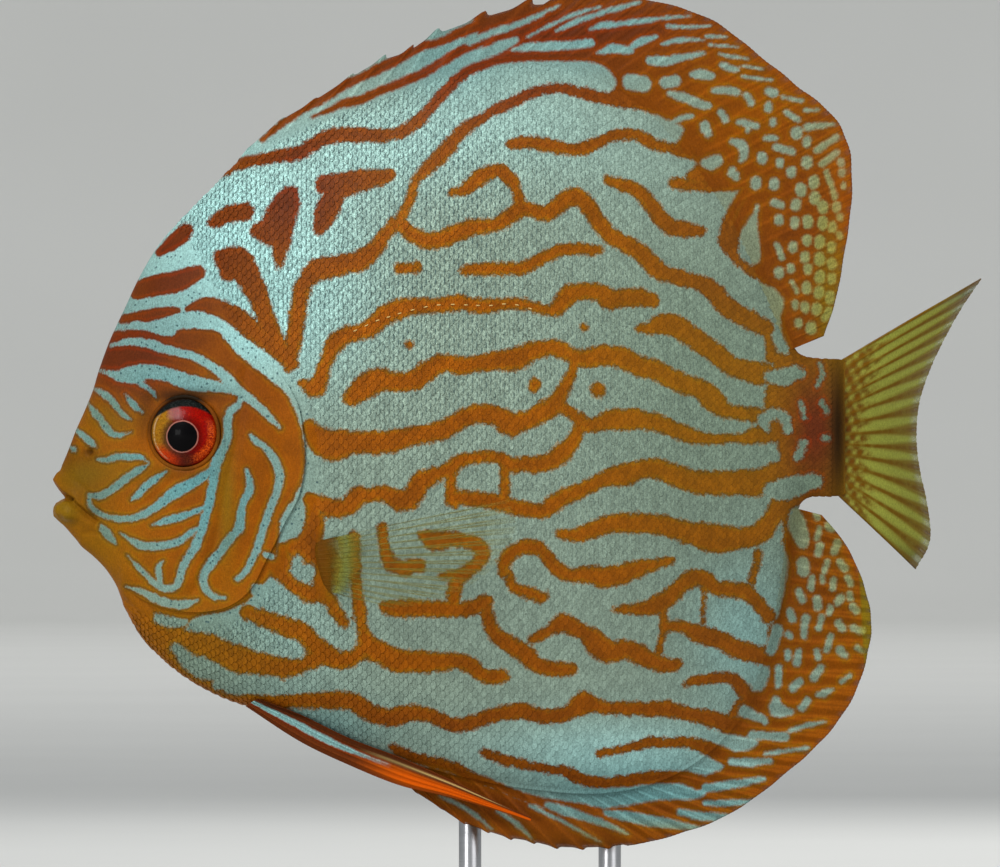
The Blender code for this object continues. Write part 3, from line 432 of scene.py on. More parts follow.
    # Pale lines on the head
    head_lines: tuple[Rows, ...] = (
        ((95, 389, 2.5), (104, 394, 3.5), (111, 399, 3.5), (117, 407, 3), (124, 415, 2.5), (132, 420, 1.5)),
        ((89, 404, 2.5), (94, 411, 3.5), (101, 419, 3.5), (107, 427, 3.5), (113, 434, 3), (122, 435, 2),
         (132, 432, 1)), ((77, 430, 2.5), (84, 436, 3.5), (91, 442, 3.5), (97, 447, 2.5)),
        ((71, 447, 2.5), (76, 451, 3)), ((126, 394, 1), (131, 401, 2.5), (138, 408, 3), (144, 413, 2)),
        ((138, 383, 3), (147, 387, 2.5), (154, 393, 2), (158, 399, 1.5)),
        ((100, 371, 3), (110, 373, 4), (120, 376, 6), (130, 375, 8.5), (139, 374, 9), (147, 371.5, 7.5),
         (158, 373, 7), (170, 375.5, 7), (180, 379, 7.5), (190, 382.5, 8), (200, 384.5, 7.5), (213, 386, 6.5),
         (234, 390, 6)),
        ((98, 459, 1.5), (108, 460, 3), (118, 457, 3.5), (130, 457, 3.5), (142, 457, 2.5), (150, 463, 1.5)),
        ((149, 465, 2), (140, 470, 3.5), (130, 476, 4), (120, 484, 4), (110, 491, 3.5), (100, 496, 4.5),
         (90, 495, 4)), ((168, 471, 1), (157, 478, 3), (148, 485, 3.5), (140, 493, 3.5), (132, 500, 1.5)),
        ((90, 497, 4), (91, 505, 3), (98, 512, 3), (110, 517, 3), (125, 519, 3), (140, 516, 3.5),
         (155, 508, 4), (168, 498, 5), (180, 490, 6), (195, 482, 5.5), (207, 474, 5), (215, 468, 5)),
        ((152, 525, 1), (165, 521, 3), (180, 517, 4), (192, 513, 3), (205, 507, 3)),
        ((121, 533, 1), (130, 539, 2.5), (142, 545, 4), (155, 546, 4), (170, 544, 3.5), (182, 540, 3.5),
         (195, 530, 3), (204, 526, 3)),
        ((242, 392, 5), (240, 404, 4.5), (232, 411, 5.5), (229, 420, 5), (229, 434, 4.5), (226, 446, 4.5),
         (220, 457, 5.5), (216, 470, 5), (214, 485, 4.5), (211, 500, 4.5), (207, 515, 4), (203, 530, 4.5),
         (197, 545, 4.5), (190, 556, 4), (184, 566, 4), (181, 578, 4), (177, 586, 3.5), (166, 588, 4),
         (156, 583, 4), (145, 573, 3.5), (136, 564, 3), (128, 555, 1)),
        ((162, 586, 2.5), (160, 575, 3), (160, 566, 2.5), (164, 561, 1.5)),
        ((126, 586, 1), (142, 591, 3), (155, 597, 4), (165, 601, 4), (180, 604, 4.5), (192, 602, 4),
         (198, 600, 3)),
        ((248, 470, 4), (250, 480, 5), (251, 489, 5), (246, 500, 4), (242, 512, 4), (241, 525, 5),
         (236, 533, 4), (228, 542, 4.5), (221, 552, 4.5), (213, 562, 5), (206, 572, 4.5), (204, 582, 4.5),
         (208, 590, 4), (216, 596, 4.5), (226, 597, 3)),
        ((252, 435, 3), (258, 442, 4.5), (266, 447, 4), (275, 459, 4.5), (280, 472, 4.5), (280, 484, 4),
         (276, 496, 4), (271, 508, 4), (267, 521, 4), (262, 535, 4), (258, 548, 4), (252, 562, 4),
         (246, 572, 4.5), (238, 579, 5)),
        ((222, 368, 2), (230, 378, 4), (240, 391, 5), (250, 399, 4.5), (260, 407, 4), (270, 416, 3.5),
         (281, 428, 3)), ((101, 524, 1), (105, 530, 4), (111, 538, 4), (117, 544, 1)),
        ((118, 326, 3), (140, 325, 4), (160, 330, 5), (172, 331, 5), (176, 320, 5), (186, 317, 4.5),
         (208, 320, 6), (225, 329, 6), (240, 341, 6), (255, 353, 7), (270, 366, 8), (285, 381, 8),
         (296, 395, 8)),
        ((110, 346, 2.5), (130, 342, 4), (150, 344, 4.5), (165, 349, 4.5), (185, 354, 4), (200, 359, 4),
         (214, 368, 4.5), (226, 378, 5), (236, 392, 6)),
    )
    # The dark ground round the breast fin's root, and the pale patches left in it
    breast_ground: tuple[Rows, ...] = (
        ((312, 500, 6), (315, 515, 8), (314, 530, 10), (306, 545, 11), (294, 548, 9)),
        ((300, 550, 12), (318, 552, 13), (330, 566, 12), (322, 588, 9), (334, 606, 6), (344, 622, 5)),
        ((264, 562, 5), (276, 566, 9), (294, 586, 6), (312, 594, 9)), ((284, 548, 6), (284, 566, 7)),
    )
    breast_patches: tuple[Rows, ...] = (
        ((297, 557, 3), (299, 565, 6), (301, 573, 3)), ((267, 554, 3), (273, 556, 3)),
        ((256, 586, 3), (268, 594, 8), (288, 603, 8), (306, 612, 5)),
    )
    dark_swell: float = 0.9
    line_taper: float = 0.5
    throat_patches: tuple[Rows, ...] = (
        ((176, 648, 5), (186, 660, 7), (200, 672, 6), (212, 676, 3)),
        ((206, 622, 5), (228, 628, 7), (250, 634, 8), (275, 645, 8), (298, 652, 6)),
        ((218, 684, 6), (245, 682, 8), (275, 684, 7)),
        ((258, 590, 6), (275, 598, 8), (296, 608, 7), (305, 614, 4)),
        ((158, 618, 4), (172, 622, 5), (186, 622, 3)),
    )
    stalk_marks: tuple[Rows, ...] = (
        ((768, 376, 5), (782, 378, 8), (794, 373, 7), (801, 374, 4)),
        ((820, 363, 2), (822, 374, 2.5), (817, 386, 2)),
        ((766, 430, 3), (763, 420, 6), (775, 413, 5), (785, 420, 5), (787, 430, 4.5)),
        ((801, 403, 2.2), (804, 418, 2.2)), ((797, 457, 4), (803, 443, 4.5)),
        ((825, 438, 3.5), (827, 438, 3.5)), ((822, 402, 2.5), (826, 412, 3)),
        ((772, 490, 8), (786, 489, 11), (802, 484, 9), (815, 481, 7)),
    )
    dorsal_streaks: tuple[Rows, ...] = (
        ((470, 43, 2.5), (490, 33, 3), (510, 27, 3), (535, 17, 2.5), (560, 5, 1)),
        ((527, 37, 1), (545, 28, 1.5), (560, 21, 1.5), (575, 14, 2), (600, 7, 1)),
        ((556, 31, 1.5), (575, 22, 2.5), (595, 15, 2.5), (615, 9, 2.5), (640, 2, 1.5)),
        ((480, 55, 4), (500, 47, 6), (516, 40, 3)),
        ((590, 29, 1), (605, 25, 3.5), (618, 24, 2.5), (640, 21, 2.5), (665, 18, 1.5), (690, 16, 1)),
        ((668, 26, 2), (690, 27, 1.5), (710, 26, 1)), ((628, 50, 2), (640, 42, 4), (656, 37, 2)),
        ((662, 44, 1.5), (680, 40, 2.5), (703, 40, 1)), ((706, 36, 1.5), (725, 37, 1.5)),
        ((710, 45, 1.5), (738, 47, 1)), ((720, 54, 1.5), (735, 57, 2), (748, 59, 1)),
        ((742, 66, 1.5), (762, 69, 1.5)), ((742, 76, 1.5), (755, 78, 2), (772, 80, 1)),
        ((512, 50, 1.5), (530, 47, 4), (560, 46, 4.5), (590, 43, 4)),
        ((598, 53, 1.5), (612, 49, 4.5), (630, 50, 3.5)),
        ((650, 60, 4), (665, 61, 5), (685, 57, 3), (704, 53, 2)), ((630, 82, 8), (643, 84, 8)),
        ((666, 83, 6), (675, 81, 6)), ((669, 93, 3), (685, 98, 4.5), (700, 104, 4.5), (708, 106, 3.5)),
        ((692, 75, 3), (702, 74, 5), (711, 76, 4)), ((722, 65, 3), (730, 68, 3.5), (738, 70, 2)),
        ((714, 91, 3), (726, 90, 3.5), (736, 92, 4)), ((740, 122, 3.5), (756, 126, 3.5)),
        ((733, 142, 3), (742, 145, 5), (744, 155, 4), (741, 160, 3)),
        ((704, 163, 4), (712, 163, 7), (718, 160, 5)), ((768, 91, 4), (774, 93, 4)),
        ((783, 97, 2), (802, 101, 2)), ((787, 112, 3), (798, 120, 3)), ((805, 110, 1.6), (818, 110, 1.6)),
        ((808, 127, 4), (833, 124, 2)), ((817, 150, 3.5), (837, 137, 3.2)),
        ((822, 164, 3.5), (837, 152, 3.2)), ((827, 172, 2.8), (835, 197, 3.2)),
        ((766, 138, 3), (776, 138, 3)), ((776, 147, 4), (792, 152, 4)), ((774, 203, 4), (781, 205, 4)),
        ((777, 245, 3), (782, 258, 3)), ((792, 282, 2.5), (797, 292, 2.5)), ((829, 311, 4), (825, 318, 4)),
        ((755, 216, 3), (750, 232, 8), (749, 248, 11), (752, 257, 8)), ((757, 206, 2), (756, 212, 2)),
        ((721, 112, 3.5), (725, 120, 3.5)), ((746, 95, 3), (751, 103, 3.5)),
        ((670, 124, 2), (682, 118, 3), (692, 116, 2)),
    )
    dorsal_spots: Rows = (
        (768, 107, 4), (773, 122, 3.5), (797, 133, 4.5), (807, 142, 4), (705, 127, 5), (708, 132, 4),
        (841, 162, 2.6), (842, 173, 2.6), (844, 185, 1.8), (762, 158, 5), (780, 163, 4), (791, 172, 4.6),
        (807, 162, 4.6), (756, 183, 5.5), (774, 184, 4.8), (801, 190, 4.8), (814, 182, 4.6), (796, 204, 4.6),
        (815, 198, 4.6), (823, 207, 4.6), (837, 207, 3.6), (779, 220, 4.4), (795, 223, 4), (808, 222, 4.6),
        (823, 223, 4.6), (833, 227, 3.6), (840, 235, 2.2), (840, 217, 2.2), (807, 240, 3.8), (820, 242, 4.6),
        (832, 247, 3.6), (793, 247, 4.4), (805, 257, 3.8), (820, 259, 4.6), (832, 264, 4), (791, 268, 3.4),
        (808, 269, 3.4), (779, 273, 4.8), (820, 277, 4.6), (832, 278, 3.6), (807, 288, 4.2), (819, 292, 4.2),
        (830, 297, 4.2), (795, 305, 2.8), (805, 307, 3.8), (817, 309, 4.2), (799, 323, 3.2), (811, 328, 4.6),
        (732, 172, 4), (736, 176, 3.5), (748, 130, 2),
    )
    anal_marks: tuple[Rows, ...] = (
        ((795, 512, 5), (797, 524, 9), (801, 536, 8), (803, 544, 5)), ((816, 513, 3), (818, 518, 3)),
        ((829, 526, 4.5), (832, 528, 4.5)), ((820, 528, 2.5), (817, 538, 3)), ((838, 543, 4), (834, 552, 4)),
        ((820, 546, 4), (818, 554, 4)), ((803, 563, 6), (804, 571, 6)), ((828, 562, 3), (824, 572, 3)),
        ((840, 562, 3.5), (845, 569, 3.5)), ((822, 576, 2.5), (823, 582, 2.5)),
        ((848, 578, 3.5), (851, 584, 3.5)), ((812, 578, 3), (811, 588, 3.5)),
        ((834, 580, 3), (833, 588, 3.5)), ((799, 591, 3.5), (802, 600, 4)),
        ((817, 600, 4.5), (818, 606, 4.5)), ((850, 594, 3), (851, 599, 3)), ((841, 598, 4), (838, 603, 4)),
        ((831, 608, 3.5), (829, 613, 3)), ((853, 607, 4), (857, 611, 4)), ((790, 612, 4), (792, 619, 4)),
        ((806, 618, 4), (804, 636, 3.5)), ((822, 617, 3), (819, 628, 3.5)), ((839, 623, 4), (842, 628, 4)),
        ((854, 628, 3.5), (862, 631, 4)), ((777, 630, 6), (774, 640, 6), (771, 650, 5)),
        ((788, 634, 3), (790, 636, 3)), ((831, 636, 3), (827, 650, 3.5)), ((788, 652, 3), (788, 658, 3)),
        ((840, 650, 4), (845, 656, 3.5)), ((799, 652, 3.5), (797, 663, 4)), ((817, 652, 3), (818, 658, 3)),
        ((779, 668, 4), (778, 686, 3)), ((858, 648, 3), (862, 651, 2.5)), ((821, 668, 4), (814, 678, 4)),
        ((800, 682, 4), (793, 688, 4)), ((776, 700, 4), (777, 710, 7), (790, 712, 4)),
        ((808, 701, 3.5), (802, 708, 4)), ((832, 690, 2), (824, 694, 4), (818, 695, 2)),
        ((752, 735, 4), (785, 737, 4.4)), ((790, 731, 2), (805, 726, 2.5), (825, 722, 1)),
        ((765, 754, 2), (808, 748, 1.6)), ((850, 676, 2), (842, 682, 2.5)), ((762, 718, 4), (765, 722, 3)),
        ((760, 682, 4), (758, 688, 3)), ((732, 762, 3.5), (750, 763, 4.4), (770, 761, 2.5)),
        ((706, 788, 4), (722, 786, 4.5), (742, 783, 4), (764, 779, 2)),
        ((705, 803, 2.5), (730, 803, 3), (762, 800, 1)),
        ((680, 812, 3), (700, 816, 4.5), (720, 817, 4), (745, 816, 1)),
        ((607, 813, 3), (625, 816, 5), (645, 820, 5.5), (665, 823, 5), (685, 826, 3.5), (704, 829, 1)),
        ((548, 805, 3.5), (566, 811, 4.4), (600, 822, 3.5), (628, 834, 1)),
        ((530, 806, 1.5), (560, 820, 1.7), (600, 842, 1)), ((497, 811, 1.5), (518, 825, 2.5), (531, 838, 1)),
        ((440, 796, 1.5), (468, 810, 2), (492, 829, 1)),
    )

    def distance(self) -> Field:
        """The whole pattern as one field, in chart units, negative in the turquoise."""
        dark = Field()
        stripes = self.shoulder_stripes + self.flank_stripes + self.belly_stripes
        dark.strokes(10, stripes + self.nape_patches + self.breast_ground)
        pale = Field().polygon(self.trunk_ground)
        pale.grid = np.maximum(pale.grid, self.dark_swell - dark.grid)
        lines = self.throat_patches + self.breast_patches + self.stalk_marks
        lines += self.dorsal_streaks + self.anal_marks
        pale.strokes(6, lines).strokes(6, self.head_lines, self.line_taper)
        grown = [(x, y, r + 0.9 * float(ramp(x, 785, 800))) for x, y, r in self.dorsal_spots]
        pale.strokes(6, tuple(((x, y - 1.3, r), (x, y + 1.3, r)) for x, y, r in grown))
        return pale


Washes = tuple[tuple[float, float, float, float, float], ...]


@dataclass
class Markings:
    """The pattern and the broad washes of tone over it, written to a mesh as attributes.

    A wash is (x, y, reach along x, reach along y, amount) on the chart and falls off as a bell.
    pale is the distance into the turquoise, in chart units. tones holds how ruddy, bright, olive and
    blue a place is, and marks how dusky, vivid, clear and golden.
    """

    pattern: Pattern = field(default_factory=Pattern)
    ruddy: Washes = (
        (170, 260, 80, 100, 1.0), (125, 365, 55, 45, 0.9), (300, 190, 70, 80, 0.9), (430, 70, 190, 70, 0.8),
        (815, 430, 34, 75, 1.0), (620, 20, 160, 40, 0.7), (560, 800, 160, 40, 0.6), (440, 735, 180, 30, 0.5),
        (250, 400, 40, 40, 0.4), (560, 100, 140, 50, 0.25), (815, 200, 40, 120, 0.45),
        (815, 590, 36, 90, 0.3), (720, 250, 90, 90, 0.4), (720, 690, 90, 80, 0.3), (560, 640, 70, 60, 0.15),
    )
    bright: Washes = (
        (230, 230, 110, 120, 1.0), (380, 150, 90, 50, 0.4), (500, 120, 120, 60, 0.4), (650, 170, 90, 60, 0.1),
        (740, 630, 40, 60, 0.45), (650, 760, 120, 40, 0.6), (250, 345, 60, 40, 0.6), (330, 300, 60, 90, 0.3),
        (600, 40, 90, 30, 0.4), (290, 640, 60, 60, 0.3), (560, 745, 120, 30, 0.3),
    )
    olive: Washes = (
        (826, 225, 30, 120, 0.52), (905, 420, 90, 210, 1.5), (872, 620, 10, 110, 1.15),
        (200, 650, 90, 60, 0.45), (710, 380, 120, 200, 0.5), (110, 415, 32, 26, 0.8), (228, 500, 9, 60, 0.8),
        (90, 550, 55, 55, 0.6), (620, 836, 150, 12, 0.6), (80, 475, 32, 22, 0.7), (62, 512, 16, 12, 0.9),
        (340, 570, 14, 26, 0.9), (130, 470, 40, 14, 0.4),
    )
    blue: Washes = (
        (150, 440, 90, 110, 0.8), (230, 520, 70, 100, 0.6), (760, 640, 70, 90, 0.35),
        (650, 800, 140, 40, 0.8), (170, 290, 90, 80, 0.25), (600, 30, 120, 40, 0.6), (300, 730, 80, 30, 0.6),
        (440, 60, 60, 40, 0.5),
    )
    # Darker places: the four bells round the eye, some 37 to 43 units from its middle and strongest above it,
    # are painted shade of the orbit, and the small bell at the nostril, (91, 452), is painted shade in its pit
    dusky: Washes = (
        (838, 430, 8.5, 78, 0.9), (92, 512, 10, 8, 0.3), (186, 396, 34, 7, 0.9), (147, 415, 8, 22, 0.4),
        (186, 472, 30, 6, 0.3), (222, 425, 5, 22, 0.3), (91, 452, 5, 3, 0.5), (85, 475, 30, 40, 0.3),
        (700, 580, 110, 150, 0.16), (150, 330, 80, 60, 0.2), (245, 480, 40, 90, 0.1), (560, 845, 120, 8, 0.4),
        (906, 566, 22, 20, 0.6), (975, 280, 25, 25, 0.4), (316, 545, 9, 20, 0.4), (66, 455, 14, 12, 0.25),
    )
    vivid: Washes = ((842, 200, 12, 110, 0.12), (60, 515, 10, 7, 0.08))

    def __post_init__(self) -> None:
        """Draws the pattern once."""
        self.field = self.pattern.distance()

    def depth(self, x: Array, y: Array, side: Side) -> Array:
        """How far a chart place lies inside the turquoise; the right side's stripes wander a little."""
        if side is Side.RIGHT:
            share = ramp(x, 300, 380) * (1 - ramp(x, 760, 800))
            x = x + 6 * share * np.sin(y / 61.0 + 1.3)
            y = y + 6 * share * np.sin(x / 83.0)
        return -self.field.sample(x, y)

    def wash(self, washes: Washes, x: Array, y: Array) -> Array:
        """The sum of washes at chart places, kept within 0 and 1.

        Args:
            washes: the bells to add up.
            x: chart x of each place.
            y: chart y of each place.

        Returns:
            One number for each place.
        """
        total = np.zeros(np.shape(x))
        for cx, cy, rx, ry, amount in washes:
            total += amount * np.exp(-(((x - cx) / rx) ** 2) - ((y - cy) / ry) ** 2)
        return np.clip(total, 0, 1)

    def tones(self, x: Array, y: Array) -> Array:
        """Ruddy, bright, olive and blue at chart places, one row each."""
        washes = (self.ruddy, self.bright, self.olive, self.blue)
        return np.stack([self.wash(w, x, y) for w in washes], axis=-1)

    def marks(self, x: Array, y: Array, clear: Array | float = 0.0) -> Array:
        """Dusky, vivid, clear and golden at chart places, one row each.

        Args:
            x: chart x of each place.
            y: chart y of each place.
            clear: how see-through each place is, from 0 to 1.

        Returns:
            Four numbers for each place.
        """
        zero = np.zeros(np.shape(x))
        dusky, vivid = self.wash(self.dusky, x, y), self.wash(self.vivid, x, y)
        return np.stack([dusky, vivid, clear + zero, zero], axis=-1)

    def values(self, x: Array, y: Array, side: Side, clear: Array | float = 0.0) -> dict[str, Array]:
        """All three attributes at chart places on one side."""
        return {"pale": self.depth(x, y, side), "tones": self.tones(x, y), "marks": self.marks(x, y, clear)}


# Meshes


def write(mesh: bpy.types.Mesh, name: str, values: Array) -> None:
    """Writes a number or a colour for each vertex as an attribute.

    Args:
        mesh: the mesh that gets it.
        name: the attribute's name, as the finishes read it.
        values: one number, or four, for each vertex.
    """
    if values.ndim == 1:
        made = mesh.attributes.new(name, "FLOAT", "POINT")
        made.data.foreach_set("value", values.astype(np.float32))
        return
    made = mesh.attributes.new(name, "FLOAT_COLOR", "POINT")
    made.data.foreach_set("color", values.astype(np.float32).ravel())


def grid_triangles(index: Array) -> Array:
    """Two triangles for each cell of a grid of vertex numbers, all wound alike."""
    p, q, r, s = (g.reshape(-1) for g in (index[:-1, :-1], index[1:, :-1], index[1:, 1:], index[:-1, 1:]))
    return np.concatenate([np.stack([p, q, r], axis=1), np.stack([p, r, s], axis=1)])


def solid(
    name: str, points: Array, triangles: Array, attributes: dict[str, Array] | None = None, weld: bool = True
) -> bpy.types.Object:
    """A closed smooth mesh; coinciding points are merged and its faces turned outwards.

    Args:
        name: the piece's name.
        points: places in metres, one a row.
        triangles: vertex numbers, one triangle a row, all wound alike.
        attributes: values for each point, to be written by name.
        weld: whether points at one place become one.

    Returns:
        The piece's object, linked to the scene.
    """
    attributes = attributes or {}
    if weld:
        _, first, inverse = np.unique(np.round(points * 1e7), axis=0, return_index=True, return_inverse=True)
        points, triangles = points[first], inverse.reshape(-1)[triangles]
        attributes = {key: values[first] for key, values in attributes.items()}
        a, b, c = triangles.T
        triangles = triangles[(a != b) & (b != c) & (c != a)]
    corners = points[triangles]
    if np.einsum("ij,ij->i", corners[:, 0], np.cross(corners[:, 1], corners[:, 2])).sum() < 0:
        triangles = triangles[:, ::-1]
    mesh = bpy.data.meshes.new(name)
    mesh.vertices.add(len(points))
    mesh.vertices.foreach_set("co", points.astype(np.float32).ravel())
    mesh.loops.add(3 * len(triangles))
    mesh.loops.foreach_set("vertex_index", triangles.astype(np.int32).ravel())
    mesh.polygons.add(len(triangles))
    mesh.polygons.foreach_set("loop_start", np.arange(0, 3 * len(triangles), 3, dtype=np.int32))
    mesh.update(calc_edges=True)
    mesh.validate()
    mesh.shade_smooth()
    for key, values in attributes.items():
        write(mesh, key, values)
    made = bpy.data.objects.new(name, mesh)
    bpy.context.scene.collection.objects.link(made)
    return made


def plate(
    name: str, middle: Array, half: Array, across: Array, attributes: dict[str, Array] | None = None
) -> bpy.types.Object:
    """A closed thin plate: both faces lie half a thickness to either side of a grid of middle points.

    Args:
        name: the piece's name.
        middle: the grid of middle points, rows by columns by 3.
        half: half the thickness at each.
        across: the way across the plate at each, of length 1.
        attributes: values for each middle point, written to both faces.

    Returns:
        The piece's object.
    """
    rows, columns = half.shape
    count = rows * columns
    near, far = middle - across * half[..., None], middle + across * half[..., None]
    index = np.arange(count).reshape(rows, columns)
    rim = np.concatenate([index[0, :-1], index[:-1, -1], index[-1, :0:-1], index[:0:-1, 0]])
    band = np.stack([rim, rim + count])
    band = np.concatenate([band, band[:, :1]], axis=1)
    # The band's cells run from the near face to the far one
    faces = [grid_triangles(index), grid_triangles(index + count)[:, ::-1], grid_triangles(band)[:, ::-1]]
    doubled = {key: np.concatenate([v.reshape(count, -1)] * 2) for key, v in (attributes or {}).items()}
    doubled = {key: v[:, 0] if v.shape[1] == 1 else v for key, v in doubled.items()}
    points = np.concatenate([near.reshape(-1, 3), far.reshape(-1, 3)])
    return solid(name, points, np.concatenate(faces), doubled, weld=False)


def facing(middle: Array) -> Array:
    """Unit vectors across a grid of points, on the side nearest to +Y.

    Args:
        middle: the grid, rows by columns by 3.

    Returns:
        One vector for each point.
    """
    normal = np.cross(np.gradient(middle, axis=0), np.gradient(middle, axis=1))
    normal /= np.maximum(np.linalg.norm(normal, axis=2, keepdims=True), 1e-12)
    return normal * np.sign(normal[:, :, 1].mean())


# The body


def near_line(x: Array, y: Array, line: Rows, width: float) -> Array:
    """1 on a chart line, falling off as a bell over a width of chart units.

    Args:
        x: chart x of each place.
        y: chart y of each place.
        line: the line's knots, x and y.
        width: the bell's width.

    Returns:
        One number for each place.
    """
    path = smooth(line, 60)
    gap = np.full(np.shape(x), 1e9)
    for a, b in zip(path[:-1], path[1:]):
        d = b - a
        t = np.clip(((x - a[0]) * d[0] + (y - a[1]) * d[1]) / (d @ d), 0, 1)
        gap = np.minimum(gap, np.hypot(x - a[0] - t * d[0], y - a[1] - t * d[1]))
    return bell(gap, width)


@dataclass(frozen=True)
class Relief:
    """What the skin stands out by on the head, in metres, on the chart."""

    upper_lip: Rows = ((54, 482), (60, 488), (70, 494), (82, 503), (93, 513))
    lower_lip: Rows = ((50, 510), (58, 510), (64, 510), (70, 513))
    lower_lip_fold: Rows = ((70, 513), (80, 518), (90, 523))
    mouth: Rows = ((40, 498), (54, 498), (66, 499), (76, 505), (88, 515), (97, 522))
    lip_groove: Rows = ((60, 470), (72, 478), (84, 488), (94, 500), (101, 514))
    jaw_groove: Rows = ((84, 534), (96, 533), (108, 540), (120, 552), (130, 566))
    cheek: Rows = ((246, 372), (242, 402), (238, 440), (228, 480), (221, 520), (210, 560), (194, 592))
    cheek_rim: Rows = ((236, 380), (232, 420), (226, 455), (214, 500), (206, 540), (192, 575), (172, 592))
    orbit_folds: tuple[Rows, ...] = (
        ((160, 470), (148, 478), (130, 486), (112, 490)), ((176, 476), (168, 486), (154, 498), (138, 506)),
        ((150, 400), (140, 388), (128, 382)),
    )
    gill_folds: tuple[Rows, ...] = (
        ((128, 590), (140, 600), (156, 612), (176, 622)), ((124, 600), (136, 612), (150, 626), (168, 640)),
        ((126, 612), (138, 626), (152, 642), (168, 656)),
    )
    nostril: tuple[float, float] = (91.0, 452.0)
    eye: tuple[float, float] = (186.0, 433.0)
    eye_ring: float = 41.0
    eye_dish: float = 37.5

    def __call__(self, x: Array, y: Array) -> Array:
        """The relief at chart places: lips, folds, nostril, the orbit with its rim, and the cheek's edge.

        Args:
            x: chart x of each place.
            y: chart y of each place.

        Returns:
            Metres outwards at each place.
        """
        front = 1 - ramp(x, 62, 98)
        sides = ramp(x, 53, 61)
        rise = 0.0007 * near_line(x, y, self.upper_lip, 4.5) * (0.3 + 0.7 * front) * sides
        rise += 0.0011 * near_line(x, y, self.lower_lip, 7.5) * sides
        rise += 0.0003 * near_line(x, y, self.lower_lip_fold, 5.0)
        rise -= 0.0007 * near_line(x, y, self.mouth, 2.4) * sides
        rise -= 0.00022 * near_line(x, y, self.lip_groove, 3.2) * sides
        rise -= 0.00016 * near_line(x, y, self.jaw_groove, 3.0)
        rise -= 0.0003 * near_line(x, y, self.cheek, 4.0)
        rise += 0.0002 * near_line(x, y, self.cheek_rim, 7.0)
        for fold in self.orbit_folds:
            rise -= 0.00012 * near_line(x, y, fold, 3.0)
        for fold in self.gill_folds:
            rise -= 0.00022 * near_line(x, y, fold, 3.0)
        from_nostril = np.hypot(x - self.nostril[0], y - self.nostril[1])
        rise += 0.00022 * bell(from_nostril - 5.0, 2.2) - 0.0007 * bell(from_nostril, 2.6)
        from_eye = np.hypot(x - self.eye[0], y - self.eye[1])
        rise += 0.0001 * bell(from_eye - self.eye_ring, 7.0)
        return rise - 0.0026 * np.clip((self.eye_dish - from_eye) / 10.0, 0, 1)


